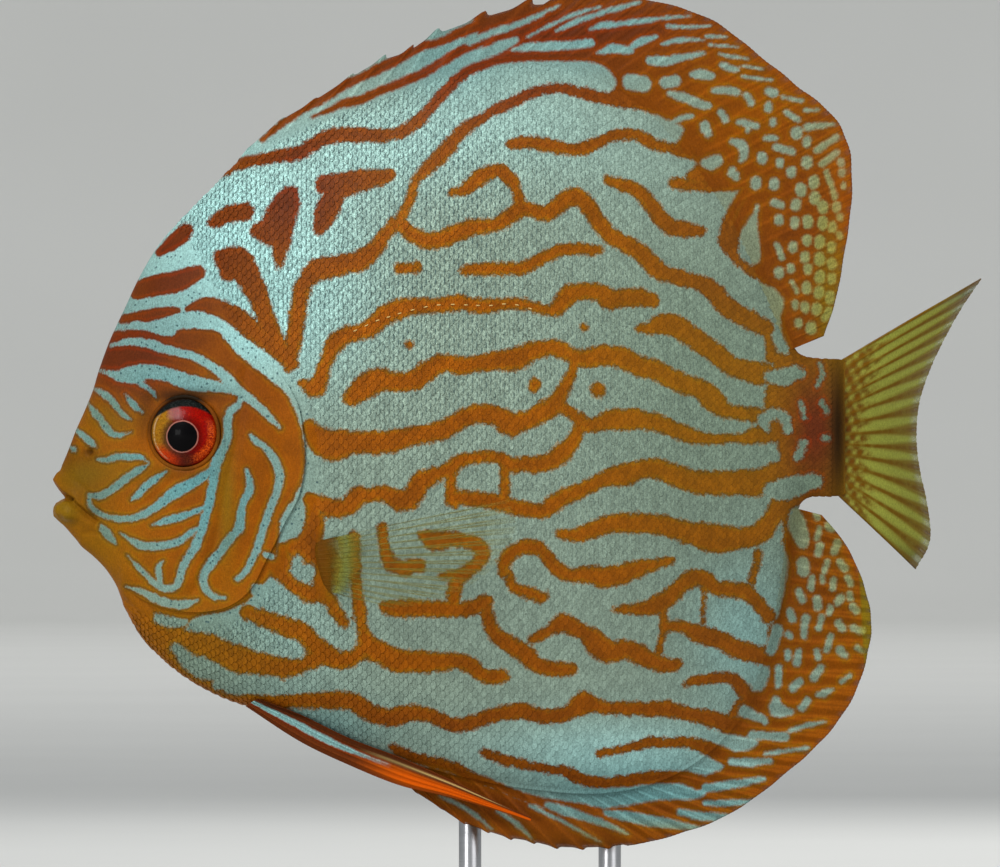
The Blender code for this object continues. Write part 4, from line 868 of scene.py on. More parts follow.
@dataclass
class BodyForm:
    """The flesh: at each chart x a lens-shaped section between the back and the belly."""

    back_line: Rows = (
        (53, 479), (56, 474), (61, 467), (66, 456), (70, 446), (76, 430), (85, 410), (93, 390), (99, 370),
        (110, 340), (124, 310), (138, 280), (154, 252), (170, 231), (189, 210), (209, 190), (228, 170),
        (240, 159), (257, 149), (283, 134), (312, 119), (342, 107), (372, 96), (402, 86), (434, 75),
        (468, 67), (500, 62), (540, 60), (582, 67), (622, 86), (656, 112), (687, 147), (712, 180), (733, 212),
        (752, 250), (769, 290), (784, 326), (796, 350), (806, 356), (820, 358), (838, 358), (847, 361),
    )
    belly_line: Rows = (
        (53, 516), (56, 521), (62, 526), (69, 533), (76, 540), (82, 547), (93, 556), (104, 567), (112, 578),
        (118, 589), (122, 602), (127, 615), (136, 630), (150, 648), (166, 663), (184, 677), (204, 689),
        (225, 699), (245, 706), (270, 714), (300, 724), (340, 739), (372, 751), (408, 762), (448, 773),
        (493, 783), (542, 790), (588, 794), (620, 792), (652, 784), (682, 771), (709, 752), (733, 728),
        (752, 700), (766, 669), (776, 636), (783, 602), (787, 570), (791, 541), (796, 516), (803, 501),
        (815, 497), (838, 497), (847, 494),
    )
    half_thickness_mm: Rows = (
        (53, 2.9), (62, 3.3), (75, 4.1), (100, 5.7), (130, 7.6), (160, 9.4), (190, 11.0), (230, 12.8),
        (270, 13.9), (310, 14.5), (360, 14.6), (420, 14.1), (480, 13.1), (540, 11.9), (600, 10.4), (660, 8.6),
        (710, 6.9), (750, 5.5), (785, 4.3), (810, 3.5), (832, 2.8), (840, 2.2), (847, 0.9),
    )
    back_power: Rows = ((53, 1.0), (110, 1.05), (200, 1.25), (350, 1.35), (650, 1.35), (780, 1.2), (838, 1.0))
    belly_power: Rows = ((53, 1.0), (110, 1.0), (250, 1.08), (400, 1.3), (650, 1.35), (780, 1.2), (838, 1.0))
    front_setback: Rows = (
        (470, 0), (480, 0), (484, 2), (490, 6), (496, 11), (498, 12), (500, 8), (503, 3), (507, 0.6),
        (511, 0), (516, 0.5), (521, 3), (530, 3),
    )
    nose: float = 53.0
    nose_rounding: float = 24.0
    setback_fades: float = 84.0
    tail_root: float = 836.0
    swing_from: float = 640.0
    swing_at_root: float = 0.002
    fin_root_half: float = 0.0009
    relief: Relief = field(default_factory=Relief)

    def __post_init__(self) -> None:
        """Makes the smooth curves through the tables."""
        self.back, self.belly = Profile(self.back_line), Profile(self.belly_line)
        self.widest = Profile(self.half_thickness_mm)
        self.above, self.below = Profile(self.back_power), Profile(self.belly_power)

    def swing(self, x: Array) -> Array:
        """How far the middle plane lies towards +Y: the square of the share of the way to the tail."""
        share = np.clip(np.asarray(x, float) - self.swing_from, 0, None) / (self.tail_root - self.swing_from)
        return self.swing_at_root * share**2

    def edge_half(self, x: Array, upper: bool) -> Array:
        """Half width of the strip along the back or belly that a fin stands on."""
        return self.fin_root_half * (ramp(x, 228, 262) if upper else ramp(x, 335, 372))

    def section(self, x: Array, s: Array) -> Array:
        """Half thickness at height s of the section at x: the edge's, plus the rest times c to a power.

        Args:
            x: chart x.
            s: height in the section, -1 at the belly and 1 at the back.

        Returns:
            Half the flesh's thickness in metres, where c is the root of 1 - s * s.
        """
        t = np.clip((x - self.nose) / self.nose_rounding, 0, 1)
        widest = self.widest(x) / 1000 * np.sqrt(1 - (1 - t) ** 2)
        c = np.sqrt(np.clip(1 - s * s, 0, 1))
        power = np.where(s > 0, self.above(x), self.below(x))
        edge = np.where(s > 0, self.edge_half(x, True), self.edge_half(x, False))
        return edge + (widest - edge) * c**power

    def height(self, x: Array, angle: Array) -> Array:
        """Chart y at an angle round the section, -90 degrees at the belly and 90 at the back."""
        back, belly = self.back(x), self.belly(x)
        return (back + belly) / 2 - (belly - back) / 2 * np.sin(angle)

    def angle(self, x: Array, y: Array) -> Array:
        """The angle round the section at a chart place."""
        back, belly = self.back(x), self.belly(x)
        return np.arcsin(np.clip(((back + belly) / 2 - y) / ((belly - back) / 2), -1, 1))

    def bare(self, x: Array, angle: Array) -> Array:
        """Points of the left side with no relief, before the swing.

        Args:
            x: chart x.
            angle: the angle round the section.

        Returns:
            Points in metres, in a last axis of 3.
        """
        y = self.height(x, angle)
        setback = np.interp(y, *np.array(self.front_setback).T) * (1 - ramp(x, self.nose, self.setback_fades))
        return np.stack([CHART.x(x + setback), -self.section(x, np.sin(angle)), CHART.z(y)], axis=-1)

    def normal(self, x: Array, angle: Array) -> Array:
        """Outward unit vectors of the left side, from the slopes along x and round the section.

        Args:
            x: chart x.
            angle: the angle round the section.

        Returns:
            Vectors of length 1, in a last axis of 3.
        """
        limit = math.pi / 2
        along = self.bare(x + 0.6, angle) - self.bare(x - 0.6, angle)
        high, low = np.minimum(angle + 0.004, limit), np.maximum(angle - 0.004, -limit)
        n = np.cross(along, self.bare(x, high) - self.bare(x, low))
        return n / np.maximum(np.linalg.norm(n, axis=-1, keepdims=True), 1e-12)

    def skin(self, x: Array, angle: Array, lift: Array | float) -> Array:
        """Points of the left side, lifted off the bare form by the relief and by lift.

        Args:
            x: chart x.
            angle: the angle round the section.
            lift: metres outwards, beside the relief.

        Returns:
            Points in metres, with those of the middle plane kept on it.
        """
        bare, normal = self.bare(x, angle), self.normal(x, angle)
        on_middle = -bare[..., 1] < 1e-6
        normal[..., 1] = np.where(on_middle, 0, normal[..., 1])
        out = bare + normal * (self.relief(x, self.height(x, angle)) + lift)[..., None]
        out[..., 1] = np.where(on_middle, 0, np.minimum(out[..., 1], 0))
        return out

    def on_side(self, points: Array, x: Array, side: Side) -> Array:
        """Left-side points moved to a side of the fish, with the swing of the tail.

        Args:
            points: points of the left side.
            x: their chart x.
            side: where they go.

        Returns:
            The points moved.
        """
        placed = points * (1, -side.value, 1)
        placed[..., 1] += self.swing(x)
        return placed

    def flank(self, x: Array, y: Array) -> Array:
        """Half thickness of the flesh at a chart place, 0 outside its outline.

        Args:
            x: chart x of each place.
            y: chart y of each place.

        Returns:
            Metres from the middle plane at each place.
        """
        back, belly = self.back(x), self.belly(x)
        s = ((back + belly) / 2 - y) / ((belly - back) / 2)
        return np.where(np.abs(s) < 1, self.section(x, np.clip(s, -1, 1)), 0.0)


@dataclass
class CoatArea:
    """Where the body is scaled: behind the gill opening and the nape, but not at the breast fin's root."""

    border: Rows = (
        (150, 225), (170, 238), (192, 268), (206, 300), (222, 330), (246, 352), (272, 374), (290, 398),
        (302, 430), (307, 468), (303, 500), (288, 525), (270, 566), (245, 602), (205, 616), (165, 606),
        (130, 606), (100, 640), (160, 760), (400, 880), (700, 880), (900, 700), (900, 200), (760, -20),
        (400, -28), (200, 90),
    )
    fin_root: Rows = ((322, 535), (324, 560), (327, 592))

    def __post_init__(self) -> None:
        """Draws the area once."""
        self.field = Field(30.0, 1.0).polygon(self.border)

    def inside(self, x: Array, y: Array) -> Array:
        """How far inside the scaled area a chart place is, from 0 outside to 1 well inside."""
        away = 1 - near_line(x, y, self.fin_root, 9.0)
        return ramp(-self.field.sample(x, y), -2, 20) * ramp(away, 0.4, 0.95)


@dataclass
class Skin:
    """One closed skin over head, trunk and tail stalk, sunk by the coat's depth where scales cover it."""

    form: BodyForm
    markings: Markings
    coat: CoatArea
    around: int = 220
    coat_depth: float = 0.00016

    def stations(self) -> Array:
        """Chart x of the rings: closest at the lips, close on the head, wider on the trunk."""
        lips = 53 + 12 * np.linspace(0, 1, 16) ** 2
        head = np.concatenate([np.linspace(66, 100, 32), np.linspace(101.5, 312, 118)])
        trunk = np.linspace(322, 760, 36)
        stalk = np.concatenate([np.linspace(768, 814, 14), np.linspace(820, 846, 12)])
        return np.concatenate([lips, head, trunk, stalk])

    def build(self) -> bpy.types.Object:
        """The skin: rings of points, left side belly to back and right side back to belly."""
        t = np.linspace(-1, 1, self.around)
        angle = 0.35 * t * math.pi / 2 + 0.65 * np.arcsin(t)
        x, angle = np.meshgrid(self.stations(), angle, indexing="ij")
        y = self.form.height(x, angle)
        left = self.form.skin(x, angle, -self.coat_depth * self.coat.inside(x, y))
        right = self.form.on_side(left, x, Side.RIGHT)[:, ::-1]
        ring = np.concatenate([self.form.on_side(left, x, Side.LEFT), right], axis=1)
        rows, columns = ring.shape[:2]
        index = np.arange(rows * columns).reshape(rows, columns)
        closed = np.concatenate([index, index[:, :1]], axis=1)
        last = np.stack([index[-1, : self.around], index[-1, self.around :][::-1]])
        first = np.stack([index[0, : self.around], index[0, self.around :][::-1]])
        faces = np.concatenate([grid_triangles(closed), grid_triangles(last)[:, ::-1], grid_triangles(first)])
        on_left, on_right = (self.markings.values(x, y, side) for side in Side)
        values = {key: np.concatenate([v, on_right[key][:, ::-1]], axis=1) for key, v in on_left.items()}
        values = {key: v.reshape(rows * columns, -1).squeeze() for key, v in values.items()}
        return solid("skin", ring.reshape(-1, 3), faces, values)


@dataclass
class GillCover:
    """The free rear edge of a gill cover: a thin plate that leaves the skin and ends in a rounded rim."""

    form: BodyForm
    markings: Markings
    side: Side
    edge: Rows = (
        (272, 362), (284, 378), (293, 392), (300, 408), (304, 430), (306, 455), (304, 478), (298, 500),
        (286, 522), (276, 543), (266, 562), (256, 582), (243, 597), (225, 607), (200, 611), (176, 609),
        (154, 603), (134, 594), (120, 584),
    )
    depth: float = 30.0
    rise: float = 0.00055
    thickness: float = 0.00022
    steps: int = 320
    rows: int = 26

    def build(self) -> bpy.types.Object:
        """The plate: chart places go from the edge inwards, and the lift grows as the square towards it."""
        path = smooth(self.edge, self.steps)
        slope = np.gradient(path, axis=0)
        slope /= np.linalg.norm(slope, axis=1, keepdims=True)
        inward = np.stack([-slope[:, 1], slope[:, 0]], axis=1)
        share = np.linspace(0, 1, self.steps)
        ends = ramp(share, 0, 0.16) * (1 - ramp(share, 0.86, 1))
        v = 1 - (1 - np.linspace(0, 1, self.rows)) ** 1.5
        reach = self.depth * (0.35 + 0.65 * ends)[:, None] * (1 - v)
        place = path[:, None] + inward[:, None] * reach[..., None]
        x, y = place[..., 0], place[..., 1]
        angle = self.form.angle(x, y)
        top = -0.00003 + (self.rise * ends)[:, None] * v[None, :] ** 2
        rim = self.thickness * np.sqrt(np.clip((1 - v) / 0.06, 0, 1))[None, :]
        half = np.maximum(np.broadcast_to(rim, x.shape) / 2, 0.00002)
        normal = self.form.normal(x, angle)
        middle = self.form.skin(x, angle, top - half)
        across = normal * (1, -self.side.value, 1)
        placed = self.form.on_side(middle, x, self.side)
        values = self.markings.values(x, y, self.side)
        return plate(f"gill_edge_{self.side.word}", placed, half, across, values)


@dataclass
class Eye:
    """An eye: a lens-shaped ball turned with the head's side, and the soft ring of skin round it."""

    form: BodyForm
    markings: Markings
    side: Side
    place: tuple[float, float] = (186.3, 432.8)
    radius: float = 0.0063
    bulge: float = 0.0029
    cornea: float = 0.00045
    back: float = 0.0022
    sunk: float = 0.0013
    turn: float = math.radians(13)
    ring_radius: float = 0.0064
    ring_tube: float = 0.00034

    def frame(self) -> tuple[Array, Array, Array, Array]:
        """The rim's centre, the way out, and the two directions in the rim's plane, on the left side."""
        x, y = self.place
        out = np.array([-math.sin(self.turn), -math.cos(self.turn), 0])
        aft = np.array([math.cos(self.turn), -math.sin(self.turn), 0])
        depth = float(self.form.flank(np.array(x), np.array(y))) - self.sunk
        return np.array([float(CHART.x(x)), -depth, float(CHART.z(y))]), out, aft, np.array([0, 0, 1.0])

    def ball(self) -> bpy.types.Object:
        """The ball: its profile turned round the way out.

        The front stands up as the bulge times the root of 1 - r * r, with the cornea's bell on it.
        """
        centre, out, aft, up = self.frame()
        turn = np.linspace(0, 2 * math.pi, 129)
        t = np.linspace(0, 1, 40)
        front = np.sin(t * math.pi / 2)
        rise = self.bulge * np.sqrt(1 - front**2) + self.cornea * bell(front, 0.55)
        rise -= self.cornea * bell(np.array(1.0), 0.55)
        rear = np.sin(np.linspace(1, 0, 12) * math.pi / 2)[1:]
        radius = np.concatenate([front, rear]) * self.radius
        rise = np.concatenate([rise, -self.back * np.sqrt(1 - rear**2)])
        flat = radius[:, None, None] * (np.cos(turn)[:, None] * aft + np.sin(turn)[:, None] * up)
        points = centre + flat + rise[:, None, None] * out
        return self.turned("eyeball", points)

    def ring(self) -> bpy.types.Object:
        """The ring: a flattened tube that follows the skin's slope round the ball."""
        centre, out, aft, up = self.frame()
        around, round_tube = np.linspace(0, 2 * math.pi, 161), np.linspace(0, 2 * math.pi, 25)
        turn, round_ = np.meshgrid(around, round_tube, indexing="ij")
        radius = self.ring_radius + self.ring_tube * np.cos(round_)
        spoke = np.cos(turn)[..., None] * aft + np.sin(turn)[..., None] * up
        line = centre + self.ring_radius * spoke
        skin = -self.form.flank(*CHART.place(line))
        centre_rise = (skin - line[..., 1]) / out[1] - 0.00012
        rise = centre_rise + self.ring_tube * 0.6 * np.sin(round_)
        points = centre + radius[..., None] * spoke + rise[..., None] * out
        # Darkened 0.35 towards the dusky colour: painted shade of the orbit round the eye
        return self.turned("eye_ring", points, 0.35)

    def turned(self, name: str, points: Array, dusk: float = 0.0) -> bpy.types.Object:
        """A closed turned surface on this eye's side, marked as the skin is.

        Args:
            name: the piece's name without its side.
            points: rings of points in metres.
            dusk: how dusky it is, from 0 to 1.

        Returns:
            The piece's object.
        """
        x, y = CHART.place(points)
        values = {
            "pale": np.full(x.size, -6.0),
            "tones": self.markings.tones(x, y).reshape(-1, 4),
            "marks": self.markings.marks(x, y).reshape(-1, 4) * (1, 0, 0, 0) + (dusk, 0, 0, 0),
        }
        index = np.arange(x.size).reshape(x.shape)
        placed = self.form.on_side(points, np.zeros(x.shape), self.side)
        return solid(f"{name}_{self.side.word}", placed.reshape(-1, 3), grid_triangles(index), values)


@dataclass
class ScaleCoat:
    """Rows of overlapping scales along one side, each a small curved plate raised at its rear edge."""

    form: BodyForm
    markings: Markings
    area: CoatArea
    side: Side
    pitch: float = 9.2
    row_pitch: float = 0.00089
    reach: float = 0.62
    front: float = 0.52
    half_width: float = 1.16
    sunk: float = 0.00026
    rim: float = 0.00004
    edge: float = 0.00007
    dome: float = 0.000075
    pieces: tuple[str, ...] = ("front", "middle", "rear")
    columns: int = 7
    patch: float = 0.003
    level: float = 435.0
    girth_steps: int = 361
    own_colour: float = 0.15
    rear_calm: float = 0.55
    # Where the painted shadow crescents at the scales' rear rims show strongly; the scales' grain and painted
    # glints grow with them
    rim_washes: Washes = (
        (280, 200, 150, 130, 1.0), (450, 160, 160, 90, 0.6), (420, 330, 160, 120, 0.45),
        (250, 620, 80, 60, 0.6), (520, 400, 260, 260, 0.4),
    )

    def sizes(self, x: Array) -> Array:
        """How big scales are at a chart x: full on the shoulder, smaller to the tail."""
        return 1 - 0.30 * ramp(x, 480, 830) - 0.12 * (1 - ramp(x, 150, 260))

    def girth(self, x: Array) -> Array:
        """Distances round the section from the level line, at each x, for evenly spaced angles.

        Args:
            x: chart x of each section.

        Returns:
            Metres, one row a section, negative below the line.
        """
        angle = np.linspace(-math.pi / 2, math.pi / 2, self.girth_steps)
        bare = self.form.bare(*np.meshgrid(x, angle, indexing="ij"))
        step = np.linalg.norm(np.diff(bare[..., 1:], axis=1), axis=2)
        girth = np.concatenate([np.zeros((len(x), 1)), np.cumsum(step, axis=1)], axis=1)
        level = self.form.angle(x, np.full(x.shape, self.level))
        return girth - [[np.interp(a, angle, row)] for a, row in zip(level, girth)]

    def __post_init__(self) -> None:
        """Tabulates the angle that belongs to each chart x and distance round the body."""
        self.table_x, self.table_arc = np.arange(90, 850, 4.0), np.linspace(-0.078, 0.078, 1600)
        angle = np.linspace(-math.pi / 2, math.pi / 2, self.girth_steps)
        self.table = np.array([np.interp(self.table_arc, row, angle) for row in self.girth(self.table_x)])

    def angle_at(self, x: Array, arc: Array) -> Array:
        """The angle round the section at a distance round the body, read bilinearly from the table.

        Args:
            x: chart x.
            arc: metres round the body from the level line.

        Returns:
            The angle at each place.
        """
        row = (x - self.table_x[0]) / (self.table_x[1] - self.table_x[0])
        column = (arc - self.table_arc[0]) / (self.table_arc[1] - self.table_arc[0])
        return bilinear(self.table, row, column)

    def columns_x(self) -> Array:
        """Chart x of the half columns: each step is half a scale's local pitch."""
        x = np.linspace(120, 834, 4000)
        count = np.concatenate([[0], np.cumsum(np.diff(x) / (0.5 * self.pitch * self.sizes(x[:-1])))])
        return np.interp(np.arange(1, int(count[-1])), count, x)

    def layout(self) -> dict[str, Array]:
        """Where each scale sits: chart x, distance round the body from the mid line, and its size."""
        x = self.columns_x()
        girth = self.girth(x)
        height = girth[:, -1] - girth[:, 0]
        rows = np.arange(-90, 91)
        places = []
        for k in range(len(x)):
            mine = rows[(rows + k) % 2 == 0].astype(float)
            pitch = self.row_pitch * self.sizes(x[k]) ** 0.6 * (0.62 + 0.38 * height[k] / height.max())
            arc = mine * pitch
            kept = (arc > girth[k, 0] + 0.0003) & (arc < girth[k, -1] - 0.0003)
            arc, mine = arc[kept], mine[kept]
            places.append(np.stack([0 * arc + x[k], arc, 0 * arc + pitch, mine], axis=1))
        table = np.concatenate(places)
        made = {key: table[:, i] for i, key in enumerate(("x", "arc", "pitch", "row"))}
        made["y"] = self.form.height(made["x"], self.angle_at(made["x"], made["arc"]))
        made["inside"] = self.area.inside(made["x"], made["y"])
        kept = made["inside"] > 0.03
        return {key: value[kept] for key, value in made.items()}

    def template(self) -> tuple[Array, Array, Array, Array, Array]:
        """One scale: its outline goes round the front, over the crest, and back under the rear edge.

        Returns:
            Along (in pitches), across (in row pitches), height in metres, how near the rear rim each
            point is, and the triangles.
        """
        q = np.linspace(-1, 1, self.columns)
        arc = 0.06 + (self.reach - 0.06) * np.sqrt(np.clip(1 - q**2, 0, 1))
        rows = [
            (np.full(q.shape, -self.front), 0.80 * q, -self.sunk - 0.3 * self.dome * q**2, 0 * q),
            (0.5 * arc - 0.04, 0.97 * q, -0.00004 - self.dome * q**2, 0 * q + 0.55),
            (arc, q, self.rim - self.dome * q**2, 1 - 0.5 * q**2),
            (arc - 0.02, q * 0.99, self.rim - self.edge - self.dome * q**2, 1 - 0.5 * q**2),
        ]
        along, across, height, near = (np.stack(part) for part in zip(*rows))
        index = np.arange(4 * self.columns).reshape(4, self.columns)
        tube = grid_triangles(np.concatenate([index, index[:1]]))
        a, b, c, d = index[:, 0]
        e, f, g, h = index[:, -1]
        caps = np.array([(c, b, a), (d, c, a), (e, f, g), (e, g, h)])
        across = across * self.half_width
        triangles = np.concatenate([tube, caps])
        return along.ravel(), across.ravel(), height.ravel(), near.ravel(), triangles

    def build(self) -> list[bpy.types.Object]:
        """All the scales of the side, joined into a few pieces from front to rear."""
        spots = self.layout()
        rng = np.random.default_rng(11 if self.side is Side.LEFT else 12)
        order = np.argsort(spots["x"] + 0.01 * spots["row"], kind="stable")
        made = []
        for name, chosen in zip(self.pieces, np.array_split(order, len(self.pieces))):
            part = {key: value[chosen][:, None] for key, value in spots.items()}
            made.append(self.joined(name, part, rng))
        return made

    def joined(self, name: str, part: dict[str, Array], rng: np.random.Generator) -> bpy.types.Object:
        """One piece: the template at each place of a part, laid on the body and marked.

        Args:
            name: the part of the flank, as the piece's name says it.
            part: the places as layout gives them, each a column.
            rng: the side's source of chance.

        Returns:
            The piece's object.
        """
        along, across, height, near, triangles = self.template()
        count = len(part["x"])
        tilt = rng.normal(0, 0.00002, (count, 1))
        jitter = 1 + rng.normal(0, 0.03, (count, 1))
        x = part["x"] + along * self.pitch * self.sizes(part["x"]) * jitter
        shift = across * part["pitch"] * (1 + rng.normal(0, 0.02, (count, 1)))
        angle = self.angle_at(x, part["arc"] + shift)
        flat = (1 - part["inside"]) * (-0.00022 - 0.6 * height)
        lift = (height + tilt * near) * (1 - self.rear_calm * ramp(part["x"], 300, 640)) + flat
        points = self.form.bare(x, angle) + self.form.normal(x, angle) * lift[..., None]
        points[..., 1] = np.minimum(points[..., 1], -0.00005)
        y = self.form.height(x, angle)
        toward_x, toward_y = self.own_colour * (part["x"] - x), self.own_colour * (part["y"] - y)
        luck, luck2 = rng.random((count, 1)), rng.random((count, 1))
        # How strongly this place shows the painted rim shadows and the grain
        rim = self.markings.wash(self.rim_washes, x, y)
        own = np.stack(np.broadcast_arrays(near, luck, luck2, rim), axis=-1)
        values = {
            "pale": self.markings.depth(x + toward_x, y + toward_y, self.side).ravel(),
            "tones": self.markings.tones(x, y).reshape(-1, 4),
            "marks": self.markings.marks(x, y).reshape(-1, 4),
            "scale": own.reshape(-1, 4),
        }
        faces = (triangles[None] + (np.arange(count) * len(along))[:, None, None]).reshape(-1, 3)
        if self.side is Side.RIGHT:
            faces = faces[:, ::-1]
        placed = self.form.on_side(points, x, self.side).reshape(-1, 3)
        piece = solid(f"scales_{self.side.word}_{name}", placed, faces, values, weld=False)
        piece.data.set_sharp_from_angle(angle=math.radians(40))
        self.unwrap(piece, part, along, across)
        return piece

    def unwrap(self, piece: bpy.types.Object, part: dict[str, Array], along: Array, across: Array) -> None:
        """Writes OFBake: each scale is a small patch where its root lies on the flattened skin.

        Args:
            piece: the joined scales.
            part: their places.
            along: the template's points, in pitches.
            across: and in row pitches.
        """
        half = 0.0 if self.side is Side.LEFT else 0.5
        u = half + 0.01 + 0.48 * (part["x"] - 110) / 740 + self.patch * along / (self.reach + self.front)
        v = 0.5 + part["arc"] / 0.15 + self.patch * across / (2 * self.half_width)
        uv = np.stack([u, v], axis=-1).reshape(-1, 2)
        corner = np.empty(len(piece.data.loops), np.int32)
        piece.data.loops.foreach_get("vertex_index", corner)
        layer = piece.data.uv_layers.new(name="OFBake")
        layer.data.foreach_set("uv", uv[corner].astype(np.float32).ravel())


@dataclass
class LateralLine:
    """The little tubes of the pored scales along the upper flank."""

    form: BodyForm
    side: Side
    places: Rows = (
        (356, 331), (367, 326), (378, 321), (389, 317.5), (400, 314), (413, 310.5), (426, 307.5),
        (439, 305.5), (453, 305), (466, 305.5), (478, 306), (491, 306), (504, 304.5), (517, 305.5),
        (530, 309),
    )
    half_length: float = 0.00036
    radius: float = 0.00011
    lift: float = 0.00003

    def build(self) -> bpy.types.Object:
        """The tubes: each is a capsule, its radius a sine along it, laid on the skin in line with the next."""
        x, y = np.array(self.places, float).T
        angle = self.form.angle(x, y)
        middle, normal = self.form.bare(x, angle), self.form.normal(x, angle)
        along = np.gradient(middle, axis=0)
        along /= np.linalg.norm(along, axis=1, keepdims=True)
        t, turn = np.meshgrid(np.linspace(0, math.pi, 9), np.linspace(0, 2 * math.pi, 9), indexing="ij")
        reach, round_ = -self.half_length * np.cos(t), self.radius * np.sin(t) ** 0.5
        points = middle[:, None, None] + reach[..., None] * along[:, None, None]
        points = points + (self.lift + round_ * np.cos(turn))[..., None] * normal[:, None, None]
        points = points + (round_ * np.sin(turn))[..., None] * np.cross(along, normal)[:, None, None]
        index = np.arange(points[..., 0].size).reshape(points.shape[:3])
        faces = np.concatenate([grid_triangles(tube) for tube in index])
        zero = np.zeros(index.size)
        values = {
            "pale": zero - 4.0,
            "tones": np.stack([zero] * 4, axis=-1),
            "marks": np.stack([zero, zero, zero, zero + 0.85], axis=-1),
        }
        placed = self.form.on_side(points, x[:, None, None], self.side).reshape(-1, 3)
        return solid(f"lateral_line_{self.side.word}", placed, faces, values)


# The fins


def ridge(phase: Array, share: Array, soft: Array, width: float = 0.15) -> Array:
    """The height of fin rays, 0 to 1.

    Args:
        phase: place along the fin in rays, a whole number on each.
        share: the way out along the rays, 0 at the root.
        soft: 1 where rays branch, 0 where they are spines.
        width: a ray's half width as a share of the space between two.

    Returns:
        Bells round each ray; a soft ray's bell parts in two, and in four near its tip.
    """
    off = phase - np.round(phase)
    first = 0.17 * ramp(share, 0.30, 0.80) * soft
    second = 0.075 * ramp(share, 0.62, 1.0) * soft
    narrow = width * (1 - 0.45 * ramp(share, 0.2, 1.0))
    branches = [bell((off - a * first - b * second) / narrow, 1.0) for a in (-1, 1) for b in (-1, 1)]
    return np.max(branches, axis=0)


# Rays of the unpaired fins from front to rear, each by the chart places of its root and its tip
DORSAL_RAYS: Rows = (
    (238, 160, 247, 149), (257, 149, 280, 120), (283, 134, 313, 100), (312, 119, 350, 76),
    (342, 107, 383, 57), (372, 96, 411, 47), (402, 86, 436, 31), (434, 75, 482, 14), (468, 67, 528, 1),
    (500, 62, 572, -3), (540, 60, 620, -3), (582, 67, 668, 4), (622, 86, 716, 22), (656, 112, 758, 54),
    (687, 147, 798, 86), (712, 180, 833, 115), (733, 212, 850, 150), (752, 250, 852, 200),
    (769, 290, 845, 252), (784, 326, 836, 300), (795, 348, 824, 336),
)
ANAL_RAYS: Rows = (
    (374, 752, 415, 792), (390, 757, 440, 808), (408, 762, 463, 823), (428, 768, 487, 832),
    (448, 773, 510, 839), (470, 778, 533, 843), (493, 783, 556, 848), (517, 787, 582, 849),
    (542, 790, 608, 848), (572, 793, 645, 843), (604, 793, 682, 833), (636, 788, 718, 820),
    (667, 778, 752, 800), (696, 762, 784, 775), (722, 740, 813, 750), (743, 714, 838, 722),
    (760, 684, 857, 690), (772, 652, 868, 655), (780, 618, 872, 625), (785, 585, 868, 598),
    (789, 555, 858, 568), (793, 528, 843, 540), (799, 509, 822, 515),
)


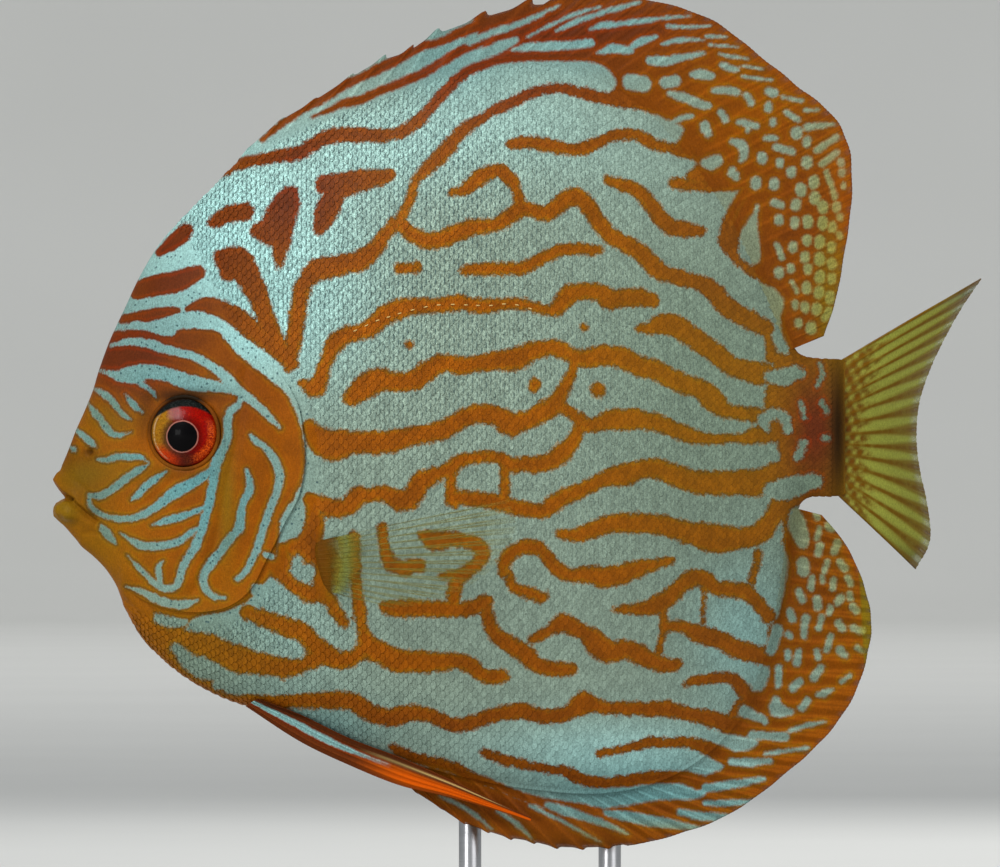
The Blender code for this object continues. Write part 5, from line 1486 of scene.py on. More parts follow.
@dataclass
class MedianFin:
    """The dorsal or the anal fin: spines in front, then soft branching rays, in one thin membrane."""

    name: str
    form: BodyForm
    markings: Markings
    rays: Rows
    spines: int
    soft_rays: int
    upper: bool
    steps: int = 520
    rows: int = 56
    edge_half: float = 0.00009
    ray_rise: float = 0.00016
    tip_share: float = 0.10
    sag: float = 0.00012
    buried: tuple[float, ...] = (-11.0, -7.0, -4.0, -1.5)
    above_flesh: tuple[float, ...] = (-0.0004, -0.00008, 0.00006, 0.0001)
    fillet: float = 0.0006
    fillet_reach: float = 5.0

    def build(self) -> bpy.types.Object:
        """The fin: places run along the base and out along the rays; the thickness falls outwards."""
        last = len(self.rays) - 1
        at_rays = np.concatenate([np.arange(self.spines), np.linspace(self.spines, last, self.soft_rays)])
        phase = np.linspace(0, len(at_rays) - 1, self.steps)
        places = np.interp(phase, np.arange(len(at_rays)), at_rays)
        both = between(self.rays, places)
        root, tip = both[:, :2], both[:, 2:]
        inner = len(self.buried)
        share = np.concatenate([np.zeros(inner), np.linspace(0, 1, self.rows) ** 1.15])
        grid_phase, grid_share = np.meshgrid(phase, share, indexing="ij")
        reach = self.reach(phase, places)
        place = root[:, None] + (tip - root)[:, None] * (share[None, :, None] * reach[:, None, None])
        slope = np.gradient(root, axis=0)
        slope /= np.linalg.norm(slope, axis=1, keepdims=True)
        out = np.stack([slope[:, 1], -slope[:, 0]], axis=1) * (1 if self.upper else -1)
        place[:, :inner] = root[:, None] + out[:, None] * np.array(self.buried)[None, :, None]
        x, y = place[..., 0], place[..., 1]
        wave = self.sag * np.sin(2 * math.pi * grid_phase) * ramp(grid_share, 0.1, 0.6)
        middle = np.stack([CHART.x(x), self.form.swing(x) + wave, CHART.z(y)], axis=2)
        soft = ramp(places, self.spines - 1, self.spines)[:, None]
        ray = ridge(grid_phase, grid_share, soft, 0.13)
        half = self.membrane(root, tip, grid_share)
        half[:, :inner] = self.form.flank(x[:, :inner], y[:, :inner]) + np.array(self.above_flesh)
        half = np.maximum(half, self.edge_half)
        ray *= ramp(grid_share, 0.0, 0.12)
        joints = 1 - 0.18 * soft * (np.sin(2 * math.pi * grid_share * 26) > 0.75)
        half += self.ray_rise * ray * joints * (1 - 0.75 * grid_share) * (1 + 0.8 * (1 - soft))
        half *= np.where(grid_share > 0.985, 0.5, 1.0)
        across = np.zeros_like(middle)
        across[..., 1] = 1
        values = self.markings.values(x, y, Side.LEFT, 0.25 * ramp(grid_share, 0.9, 1.0) * (1 - ray))
        values["ray"] = ray * ramp(grid_share, 0.0, 0.25)
        return plate(self.name, middle, half, across, values)

    def reach(self, phase: Array, places: Array) -> Array:
        """How much of its length the fin has at each place: spines pass the membrane, soft rays fray.

        Args:
            phase: place along the fin in rays.
            places: the same, in rows of the ray table.

        Returns:
            A share of the full length at each place.
        """
        spiny = 1 + self.tip_share / 2 - self.tip_share * 1.4 * (1 - bell(phase - np.round(phase), 0.16))
        frayed = 1 - 0.004 * (1 - np.abs(np.cos(4 * math.pi * phase))) - 0.004 * np.sin(2.9 * phase)
        return np.where(places < self.spines - 0.5, spiny, frayed)

    def membrane(self, root: Array, tip: Array, share: Array) -> Array:
        """Half the membrane's thickness, from the strip that it stands on through a fillet to the edge.

        Args:
            root: the base's chart places.
            tip: the margin's chart places.
            share: the way out, a grid.

        Returns:
            Metres on the grid.
        """
        root_half = np.maximum(self.form.edge_half(root[:, 0], self.upper), self.edge_half)[:, None]
        half = self.edge_half + (root_half - self.edge_half) * (1 - share) ** 3
        away = share * np.linalg.norm(tip - root, axis=1)[:, None]
        return half + self.fillet * np.exp(-away / self.fillet_reach) * (root_half / self.form.fin_root_half)


@dataclass
class TailFin:
    """The tail fin: a fan of branching rays that sweeps towards +Y."""

    form: BodyForm
    markings: Markings
    rays: Rows = (
        (838, 495, 918, 570), (838, 481, 932, 542), (838, 467, 930, 507), (838, 453, 922, 468),
        (838, 438, 919, 436), (838, 423, 922, 402), (838, 408, 933, 368), (838, 393, 948, 336),
        (838, 377, 964, 307), (838, 362, 983, 278),
    )
    lengths: Rows = ((0.0, 0.0262), (0.5, 0.0240), (1.0, 0.0312))
    count: int = 16
    steps: int = 330
    rows: int = 84
    edge_half: float = 0.00008
    ray_rise: float = 0.00017

    def build(self) -> bpy.types.Object:
        """The fan: rays leave the stalk in line with it, and their sweep grows with a power of the way out."""
        phase = np.linspace(0, self.count - 1, self.steps)
        ends = between(self.rays, phase / (self.count - 1) * (len(self.rays) - 1))
        root, tip = ends[:, :2], ends[:, 2:]
        share = np.concatenate([[-0.06], np.linspace(0, 1, self.rows)])
        out = np.clip(share, 0, 1)
        fringe = 1 - 0.005 * (1 - np.abs(np.cos(4 * math.pi * phase)))
        advance = share * (1 + 0.35 * (1 - out))
        place = root[:, None] + (tip - root)[:, None] * (advance[None, :] * fringe[:, None])[..., None]
        seen = np.linalg.norm(tip - root, axis=1) * CHART.unit
        true = Profile(self.lengths)(phase / (self.count - 1))
        sweep = np.sqrt(np.clip(true**2 - seen**2, 0.004**2, None))
        x, y = place[..., 0], place[..., 1]
        slope = 2 * self.form.swing_at_root / ((self.form.tail_root - self.form.swing_from) * CHART.unit)
        from_root = CHART.x(x) - CHART.x(self.rays[0][0])
        side = self.form.swing_at_root + slope * from_root * (1 - out)[None, :]
        side = side + sweep[:, None] * out[None, :] ** 1.7
        middle = np.stack([CHART.x(x), side, CHART.z(y)], axis=2)
        s = np.linspace(-0.97, 0.97, self.steps)
        stalk = np.maximum(self.form.section(np.full(self.steps, self.form.tail_root), s) * 0.97, 0.0002)
        grid_phase, grid_share = np.meshgrid(phase, out, indexing="ij")
        ray = ridge(grid_phase, grid_share, np.ones_like(grid_phase), 0.20)
        half = self.edge_half + 0.6 * (stalk[:, None] - self.edge_half) * (1 - grid_share) ** 8
        joints = 1 - 0.22 * (np.sin(2 * math.pi * grid_share * 24) > 0.7)
        half += self.ray_rise * ray * joints * (1 - 0.7 * grid_share) * ramp(grid_share, 0.04, 0.16)
        across = facing(middle)
        across[:, :2] = (0, 1, 0)
        clear = (0.05 + 0.45 * ramp(grid_share, 0.82, 0.95)) * (1 - 0.6 * ray)
        values = {
            "pale": self.bands(grid_phase, grid_share, x, y),
            "tones": self.markings.tones(x, y),
            "marks": self.markings.marks(x, y, clear),
            "ray": ray,
        }
        return plate("caudal", middle, half, across, values)

    def bands(self, phase: Array, share: Array, x: Array, y: Array) -> Array:
        """Pale bands between the rays, from beyond the root to the margin, and small spots near the root.

        Args:
            phase: place along the fin in rays.
            share: the way out along the rays.
            x: chart x of each place.
            y: chart y of each place.

        Returns:
            Depths into the pale, as Markings gives them.
        """
        between_rays = np.abs(phase - np.round(phase)) - 0.10
        along = np.minimum(share - 0.24 - 0.06 * np.sin(phase * 5.0), 1.05 - share)
        spots = 0.6 * np.sin(x / 1.9 + y / 7.0) * np.sin(y / 2.6) + 0.1
        near_root = 4 * spots * (1 - ramp(share, 0.3, 0.4)) - 1.4
        return np.maximum(np.minimum(between_rays * 28, along * 34), near_root)


@dataclass
class BreastFin:
    """A clear paired fin behind the gill cover, spread back over the flank."""

    form: BodyForm
    markings: Markings
    side: Side
    rays: Rows = (
        (325, 539, 508, 499), (326, 545, 515, 517), (326, 552, 513, 537), (327, 560, 502, 557),
        (328, 568, 484, 575), (329, 576, 458, 591), (330, 584, 426, 602), (330, 591, 393, 607),
    )
    count: int = 14
    spread: float = 0.0085
    steps: int = 280
    rows: int = 72
    root_reach: float = 0.05
    edge_half: float = 0.00007
    ray_rise: float = 0.00014
    root_half: float = 0.0008

    def build(self) -> bpy.types.Object:
        """The fin: it leaves the flank and stands off it further with the way out to a power."""
        phase = np.linspace(0, self.count - 1, self.steps)
        ends = between(self.rays, phase / (self.count - 1) * (len(self.rays) - 1))
        root, tip = ends[:, :2], ends[:, 2:]
        share = np.concatenate([[-self.root_reach, -self.root_reach / 2], np.linspace(0, 1, self.rows)])
        out = np.clip(share, 0, 1)
        fringe = 1 - 0.006 * (1 - np.abs(np.cos(4 * math.pi * phase)))
        place = root[:, None] + (tip - root)[:, None] * (share[None, :] * fringe[:, None])[..., None]
        x, y = place[..., 0], place[..., 1]
        off = self.form.flank(root[:, 0], root[:, 1])[:, None] - 0.0002
        off = off + 0.006 * np.minimum(share, 0)[None, :]
        stand = off + 0.0012 * ramp(share, 0, 0.25)[None, :] + self.spread * out[None, :] ** 1.15
        grid_phase, grid_share = np.meshgrid(phase, out, indexing="ij")
        wave = 0.00018 * np.sin(2 * math.pi * grid_phase) * ramp(grid_share, 0.15, 0.8)
        middle = np.stack([CHART.x(x), self.side.value * (stand + wave), CHART.z(y)], axis=2)
        ray = ridge(grid_phase, grid_share, np.ones_like(grid_phase), 0.075)
        body = (1 - grid_share) ** 6 * np.sin(math.pi * (0.08 + 0.84 * phase / (self.count - 1)))[:, None]
        half = self.edge_half + (self.root_half - self.edge_half) * body
        half += self.ray_rise * ray * (1 - 0.7 * grid_share) * ramp(grid_share, -0.1, 0.15)
        clear = (0.36 * ramp(grid_share, -0.02, 0.08) + 0.62 * ramp(grid_share, 0.03, 0.22)) * (1 - 0.55 * ray)
        clear += (1 - clear) * 0.7 * ramp(grid_share, 0.75, 1.0)
        marks = self.markings.marks(x, y, clear) * (0, 0, 1, 0)
        marks[..., 0] = 0.5 - 0.32 * ramp(grid_share, -0.02, 0.10) + 0.55 * ray * ramp(grid_share, 0.0, 0.1)
        values = {
            "pale": -5.0 + 10.0 * ramp(grid_share, -0.05, 0.20),
            "tones": np.stack([0 * x, 0 * x, ramp(grid_share, -0.05, 0.06), 0 * x], axis=-1),
            "marks": marks,
            "ray": ray * 0.35,
        }
        return plate(f"breast_fin_{self.side.word}", middle, half, facing(middle), values)


@dataclass
class BellyFin:
    """A narrow paired fin folded back along the belly, drawn out to a point."""

    form: BodyForm
    side: Side
    upper_edge: Rows = ((258, 698), (300, 714), (350, 738), (400, 757), (450, 779), (500, 803), (531, 817))
    lower_edge: Rows = ((246, 706), (300, 741), (350, 765), (400, 785), (450, 797), (500, 811), (531, 821))
    rays: int = 6
    least_offset: float = 0.0024
    edge_half: float = 0.00012
    root_half: float = 0.0005
    ray_rise: float = 0.00017

    def build(self) -> bpy.types.Object:
        """The fin: a strip between two edges, held just off the flesh and smoothed across and along."""
        phase, share = np.linspace(0, self.rays - 1, 72), np.linspace(0, 1, 180)
        v = phase / (self.rays - 1)
        upper, lower = smooth(self.upper_edge, len(share)), smooth(self.lower_edge, len(share))
        place = upper[None] * (1 - v)[:, None, None] + lower[None] * v[:, None, None]
        x, y = place[..., 0], place[..., 1]
        grid_phase, grid_share = np.meshgrid(phase, share, indexing="ij")
        ray = ridge(grid_phase, grid_share, np.ones_like(grid_phase), 0.20)
        half = self.edge_half + (self.root_half - self.edge_half) * (1 - grid_share) ** 2
        half = half + self.ray_rise * ray * (1 - grid_share**4)
        body = self.form.flank(x, y)
        floor = self.least_offset + 0.0004 * np.sin(math.pi * share)[None, :]
        off = np.maximum(body, floor) + half * 0.6 + 0.0002
        for _ in range(14):
            off[1:-1] = (off[:-2] + 2 * off[1:-1] + off[2:]) / 4
            off[:, 1:-1] = (off[:, :-2] + 2 * off[:, 1:-1] + off[:, 2:]) / 4
        middle = np.stack([CHART.x(x), self.side.value * off, CHART.z(y)], axis=2)
        across = np.zeros_like(middle)
        across[..., 1] = 1
        values = self.colours(grid_share, grid_phase / (self.rays - 1), ray)
        return plate(f"belly_fin_{self.side.word}", middle, half, across, values)

    def colours(self, share: Array, v: Array, ray: Array) -> dict[str, Array]:
        """A pale blue streak that thins to a cream line, dark red above it, and orange brighter outwards.

        Args:
            share: the way to the tip.
            v: the way across, 0 at the upper edge.
            ray: the rays' height.

        Returns:
            The attributes for each point of the fin's grid.
        """
        streak = 0.14 - np.abs(v - 0.44) - 0.09 * ramp(share, 0.25, 0.45)
        pale = np.minimum(streak * 40, (0.46 - share) * 30)
        zero = np.zeros(share.shape)
        cream = 0.7 * bell(v - 0.30 + 0.14 * share, 0.05)
        cream = cream * ramp(share, 0.36, 0.5) * (1 - ramp(share, 0.8, 0.95))
        vivid = ramp(share, 0.36, 0.6) * ramp(v, 0.3, 0.5) * (1 - 0.75 * ramp(v, 0.78, 0.95)) * (1 - cream)
        dusk = 0.55 * bell(v - 0.16, 0.14) * (1 - ramp(share, 0.5, 0.7)) + 0.35 * ramp(v, 0.82, 1.0)
        return {
            "pale": pale,
            "tones": np.stack([0.9 - 0.6 * vivid, 0.7 + zero, zero, 0.5 + zero], axis=-1),
            "marks": np.stack([dusk, vivid, zero, cream], axis=-1),
            "ray": ray,
        }


# The stand


@dataclass
class Stand:
    """An oval lacquered plate, and two turned steel rods that end inside the flank they hold."""

    form: BodyForm
    length: float = 0.116
    depth: float = 0.080
    thickness: float = 0.008
    bevel: float = 0.0015
    rod_radius: float = 0.002
    collar_radius: float = 0.0042
    neck_top: float = 0.0048
    rod_side: float = 0.007
    rod_places: tuple[tuple[str, float], ...] = (("front", 470.0), ("rear", 610.0))
    rod_reach: float = 0.0035
    bead: float = 0.0009
    gap: float = 0.0003
    groove: Rows = ((0.0040, 0), (0.0044, 0.00018), (0.0048, 0.00025), (0.0052, 0.00018), (0.0056, 0))

    def base(self) -> bpy.types.Object:
        """The plate: an oval outline carried up its wall, with rounded rims and a shallow groove on top."""
        turn = np.linspace(0, 2 * math.pi, 193)
        b = self.bevel
        arc = np.linspace(0, math.pi / 2, 8)
        inset = np.concatenate([b * (1 - np.sin(arc)), b * (1 - np.cos(arc))])
        height = np.concatenate([b * (1 - np.cos(arc)), self.thickness - b + b * np.sin(arc)])
        groove_in, groove_depth = np.array(self.groove).T
        inset = np.concatenate([[self.depth / 2], inset, groove_in, [self.depth / 2]])
        height = np.concatenate([[0], height, self.thickness - groove_depth, [self.thickness]])
        half_x, half_y = self.length / 2 - inset[:, None], self.depth / 2 - inset[:, None]
        half_x[[0, -1]], half_y[[0, -1]] = 0, 0
        x, y = half_x * np.cos(turn)[None], half_y * np.sin(turn)[None]
        points = np.stack([x, y, height[:, None] + 0 * x], axis=-1)
        return solid("stand_plate", points.reshape(-1, 3), grid_triangles(np.arange(x.size).reshape(x.shape)))

    def rod(self, name: str, place: float) -> bpy.types.Object:
        """A rod: its profile turned round its own axis, from the plate up into the flank.

        Args:
            name: front or rear.
            place: chart x of its axis.

        Returns:
            The rod's object.
        """
        foot = self.thickness + self.gap
        x = float(CHART.x(place))
        y = np.linspace(500, 800, 601)
        under = y[self.form.flank(np.full(y.shape, place), y) > self.rod_side].max()
        top = float(CHART.z(under)) + self.rod_reach
        r, b, chamfer = self.rod_radius, self.bead, 0.0003
        inner = self.collar_radius - b
        arc = np.linspace(-math.pi / 2, math.pi / 2, 12)
        neck = np.linspace(0, 1, 8)
        neck_r = r + (inner - r) * (1 - neck) ** 2
        neck_z = foot + 2 * b + (self.neck_top - 2 * b) * neck
        collar_r, collar_z = inner + b * np.cos(arc), foot + b + b * np.sin(arc)
        shaft_r, shaft_z = [r, r, r - chamfer, 0], [foot + self.thickness, top - chamfer, top, top]
        profile_r = np.concatenate([[0, inner - chamfer], collar_r, neck_r, shaft_r])
        profile_z = np.concatenate([[foot, foot], collar_z, neck_z, shaft_z])
        turn = np.linspace(0, 2 * math.pi, 65)
        px = x + profile_r[:, None] * np.cos(turn)[None]
        py = self.rod_side + profile_r[:, None] * np.sin(turn)[None]
        points = np.stack([px, py, profile_z[:, None] + 0 * px], axis=-1)
        index = np.arange(px.size).reshape(px.shape)
        return solid(f"stand_pin_{name}", points.reshape(-1, 3), grid_triangles(index))


# Finishes


def paint(red: float, green: float, blue: float) -> tuple[float, float, float, float]:
    """A colour as seen on a screen, 0 to 255, turned into the linear values that a shader takes.

    Args:
        red: the red part.
        green: the green part.
        blue: the blue part.

    Returns:
        Red, green, blue and an alpha of 1.
    """
    parts = np.array([red, green, blue]) / 255
    linear = np.where(parts <= 0.04045, parts / 12.92, ((parts + 0.055) / 1.055) ** 2.4)
    return (*(float(v) for v in linear), 1.0)


class Value:
    """A shader socket with arithmetic: an expression on values adds its Math nodes."""

    def __init__(self, shader: "Shader", socket: bpy.types.NodeSocket) -> None:
        """Wraps one output socket."""
        self.shader, self.socket = shader, socket

    def join(self, operation: str, first: "Value | float", second: "Value | float") -> "Value":
        """One Math node on two values."""
        return self.shader.node("ShaderNodeMath", {"operation": operation}, {0: first, 1: second})

    def __add__(self, other: "Value | float") -> "Value":
        """self + other."""
        return self.join("ADD", self, other)

    def __radd__(self, other: float) -> "Value":
        """other + self."""
        return self.join("ADD", other, self)

    def __sub__(self, other: "Value | float") -> "Value":
        """self - other."""
        return self.join("SUBTRACT", self, other)

    def __rsub__(self, other: float) -> "Value":
        """other - self."""
        return self.join("SUBTRACT", other, self)

    def __mul__(self, other: "Value | float") -> "Value":
        """self * other."""
        return self.join("MULTIPLY", self, other)

    def __rmul__(self, other: float) -> "Value":
        """other * self."""
        return self.join("MULTIPLY", other, self)

    def __truediv__(self, other: "Value | float") -> "Value":
        """self / other."""
        return self.join("DIVIDE", self, other)

    def __neg__(self) -> "Value":
        """Minus self."""
        return self.join("MULTIPLY", self, -1.0)


Input = Value | float | tuple[float, ...]


class Shader:
    """One material as it is put together."""

    def __init__(self, name: str, **constants: float) -> None:
        """A new material whose shader's own sockets get the constants, named with _ for spaces.

        Args:
            name: the material's name.
            constants: values for the shader's sockets.
        """
        self.material = bpy.data.materials.new(name)
        self.material.use_nodes = True
        self.tree = self.material.node_tree
        self.surface = self.tree.nodes["Principled BSDF"]
        for key, value in constants.items():
            self.surface.inputs[key.replace("_", " ").title().replace("Ior", "IOR")].default_value = value

    def node(
        self, kind: str, settings: dict[str, object], inputs: dict[str | int, Input], out: str | int = 0
    ) -> Value:
        """Adds one node.

        Args:
            kind: the node's type.
            settings: its properties, set first.
            inputs: values or links for its sockets, by name or number.
            out: which output is returned.

        Returns:
            The chosen output.
        """
        made = self.tree.nodes.new(kind)
        for key, value in settings.items():
            setattr(made, key, value)
        for key, value in inputs.items():
            if isinstance(value, Value):
                self.tree.links.new(value.socket, made.inputs[key])
            else:
                made.inputs[key].default_value = value
        return Value(self, made.outputs[out])

    def place(self) -> Value:
        """Object coordinates."""
        return self.node("ShaderNodeTexCoord", {}, {}, "Object")

    def attribute(self, name: str) -> Value:
        """A number that the mesh carries."""
        return self.node("ShaderNodeAttribute", {"attribute_name": name}, {}, "Fac")

    def channels(self, name: str) -> tuple[Value, Value, Value, Value]:
        """The four numbers of a colour that the mesh carries.

        Args:
            name: the attribute's name.

        Returns:
            Red, green, blue and alpha.
        """
        colour = self.node("ShaderNodeAttribute", {"attribute_name": name}, {}, "Color")
        parts = [self.node("ShaderNodeSeparateColor", {}, {0: colour}, k) for k in range(3)]
        alpha = self.node("ShaderNodeAttribute", {"attribute_name": name}, {}, "Alpha")
        return parts[0], parts[1], parts[2], alpha

    def step(self, value: Value, low: float, high: float) -> Value:
        """0 below low and 1 above high, smooth between."""
        settings = {"interpolation_type": "SMOOTHSTEP", "clamp": True}
        return self.node("ShaderNodeMapRange", settings, {0: value, 1: low, 2: high, 3: 0.0, 4: 1.0})

    def noise(self, scale: float, detail: float = 3.0, roughness: float = 0.55) -> Value:
        """Noise from 0 to 1 on Object coordinates."""
        inputs = {"Vector": self.place(), "Scale": scale, "Detail": detail, "Roughness": roughness}
        return self.node("ShaderNodeTexNoise", {}, inputs, "Fac")

    def cells(self, scale: float) -> Value:
        """Distances from the middles of a pattern of cells on Object coordinates."""
        return self.node("ShaderNodeTexVoronoi", {}, {"Vector": self.place(), "Scale": scale}, "Distance")

    def streaks(self, scales: tuple[float, float, float], detail: float) -> Value:
        """Noise from 0 to 1, drawn out along the axes whose scales are small."""
        squeezed = self.node("ShaderNodeMapping", {}, {0: self.place(), 3: scales})
        return self.node("ShaderNodeTexNoise", {}, {"Vector": squeezed, "Scale": 1.0, "Detail": detail}, "Fac")

    def mix(self, factor: Value | float, first: Input, second: Input, blend: str = "MIX") -> Value:
        """A colour between two, or the second blended over the first."""
        settings = {"data_type": "RGBA", "blend_type": blend, "clamp_factor": True}
        return self.node("ShaderNodeMix", settings, {0: factor, 6: first, 7: second}, 2)

    def shade(self, colour: Value, value: Value) -> Value:
        """A colour multiplied by a number."""
        grey = self.node("ShaderNodeCombineColor", {}, {0: value, 1: value, 2: value})
        return self.mix(1.0, colour, grey, "MULTIPLY")

    def bump(self, height: Value, distance: float, strength: float = 1.0) -> None:
        """Feeds a height through a Bump node to the shader's normal."""
        made = self.node("ShaderNodeBump", {}, {"Height": height, "Distance": distance, "Strength": strength})
        self.feed("Normal", made)

    def feed(self, socket: str, value: Value) -> None:
        """Links a value to one of the shader's sockets."""
        self.tree.links.new(value.socket, self.surface.inputs[socket])


@dataclass(frozen=True)
class FleshPalette:
    """The colours of the fish."""

    pale: tuple[float, ...] = paint(133, 151, 135)
    bright: tuple[float, ...] = paint(164, 207, 201)
    blue: tuple[float, ...] = paint(82, 144, 150)
    grey_olive: tuple[float, ...] = paint(142, 138, 66)
    moss: tuple[float, ...] = paint(98, 116, 94)
    straw: tuple[float, ...] = paint(158, 160, 66)
    ray_brown: tuple[float, ...] = paint(116, 80, 10)
    orange: tuple[float, ...] = paint(150, 96, 8)
    ruddy: tuple[float, ...] = paint(98, 43, 17)
    ruddy_edge: tuple[float, ...] = paint(146, 48, 8)
    ochre: tuple[float, ...] = paint(128, 96, 14)
    fin_rim: tuple[float, ...] = paint(122, 112, 18)
    core: tuple[float, ...] = paint(150, 66, 4)
    umber: tuple[float, ...] = paint(118, 62, 8)
    outline: tuple[float, ...] = paint(52, 46, 26)
    dusky: tuple[float, ...] = paint(30, 20, 8)
    vivid: tuple[float, ...] = paint(212, 88, 6)
    cream: tuple[float, ...] = paint(222, 190, 120)
    # Dark teal: the speckles on the skin's pale lines, and the painted shadow crescents along the scales' rear
    # rims
    teal_speckle_and_shadow: tuple[float, ...] = paint(40, 72, 78)


PALETTE = FleshPalette()


class Covering(Enum):
    """What a flesh finish lies on."""

    SKIN = "fish_skin"
    SCALE = "fish_scale"
    FIN = "fish_fin"
    CLEAR_FIN = "fish_clear_fin"


@dataclass(frozen=True)
class FleshFinish:
    """The fish's colours on skin, scales or fins, read from the attributes that Markings writes, with painted
    shade and painted glints among them.
    """

    covering: Covering
    roughness: float = 0.45
    gloss: float = 0.04
    speckle: float = 1.3
    wander: tuple[float, float] = (4.5, 2.8)
    soft_edge: float = 1.1

    def material(self) -> bpy.types.Material:
        """Builds the material."""
        s = Shader(self.covering.value, roughness=self.roughness, specular_ior_level=self.gloss)
        clear_fin = self.covering is Covering.CLEAR_FIN
        fin = clear_fin or self.covering is Covering.FIN
        ruddy, bright, olive, blue = s.channels("tones")
        dusky, vivid, clear, cream = s.channels("marks")
        wobble = (s.noise(620, 4.0) - 0.5) * self.wander[0] + (s.noise(2600, 2.0) - 0.5) * self.wander[1]
        depth = s.attribute("pale") + wobble
        inside = s.step(depth, -self.soft_edge, self.soft_edge)
        light = s.mix(bright, PALETTE.pale, PALETTE.bright)
        light = s.mix(blue * 0.85, light, PALETTE.blue)
        mellow = {Covering.CLEAR_FIN: PALETTE.straw, Covering.FIN: PALETTE.grey_olive}
        light = s.mix(olive, light, mellow.get(self.covering, PALETTE.moss))
        cloud = s.noise(160, 4.0, 0.6)
        grain = s.noise(3800, 2.0, 0.7)
        streak = s.streaks((4700.0, 1500.0, 1700.0), 2.0)
        core = s.step(-depth, 1.5, 6.0)
        dark = s.mix(core * 0.6, PALETTE.orange, PALETTE.core)
        dark = s.mix(s.step(cloud, 0.42, 0.66) * 0.5, dark, PALETTE.umber)
        if fin:
            dark = s.mix(olive * (0.9 if clear_fin else 0.15), dark, PALETTE.ray_brown)
            if not clear_fin:
                dark = s.mix(s.step(olive, 0.8, 1.1), dark, PALETTE.fin_rim)
        else:
            dark = s.mix(olive, dark, PALETTE.ochre)
        dark = s.mix(ruddy, dark, s.mix(core * 0.6 + 0.4, PALETTE.ruddy_edge, PALETTE.ruddy))
        # Light and dark flecks and short upright dashes at random: the surface's grain, whose light flecks are
        # in part painted glints standing in for the scales' sparkle
        uneven = (grain - 0.5) * self.speckle + (streak - 0.5) * (self.speckle * 0.8)
        if self.covering is Covering.SCALE:
            near, luck, luck2, rim = s.channels("scale")
            uneven = uneven * (rim * 0.9 + 0.35)
        light = s.shade(light, 1.0 + uneven)
        dark = s.shade(dark, 1.0 + uneven * 0.55)
        if self.covering is Covering.SKIN:
            pores = 1 - s.step(s.cells(930), 0.13, 0.24)
            light = s.mix(pores * 0.75, light, PALETTE.teal_speckle_and_shadow)
            s.bump(grain * 0.6 + s.cells(2300) * 0.4 - pores, 0.00006, 0.6)
        line = s.step(depth, -3.2, -1.4) * (1 - s.step(depth, -0.9, 0.3))
        dark = s.mix(line * (0.2 if fin else 0.45), dark, PALETTE.outline)
        colour = s.mix(inside, dark, light)
        colour = s.mix(cream, colour, PALETTE.cream)
        colour = s.mix(vivid, colour, PALETTE.vivid)
        colour = s.mix(dusky, colour, PALETTE.dusky)
        if self.covering is Covering.SCALE:
            colour = s.shade(colour, 0.86 + luck * 0.26)
            # Painted shadow: a dark teal crescent along each scale's rear rim, darkest mid-rim, as strong as
            # the rim washes say and faint in the dark stripes
            edge = s.step(near, 0.70, 0.98) * (rim * 0.75 + 0.04) * (0.06 + 0.94 * inside)
            colour = s.mix(edge, colour, PALETTE.teal_speckle_and_shadow)
            s.feed("Roughness", 0.36 + 0.16 * grain + 0.08 * luck2)
            s.bump(grain, 0.00005, 0.6)
        if fin:
            ray = s.attribute("ray")
            if clear_fin:
                colour = s.mix(ray * 0.75, colour, PALETTE.ray_brown)
            else:
                colour = s.shade(colour, 0.82 + 0.30 * ray)
            s.bump(s.noise(2400, 2.0), 0.00005, 0.5)
            s.feed("Alpha", 1 - clear)
        s.feed("Base Color", colour)
        return s.material


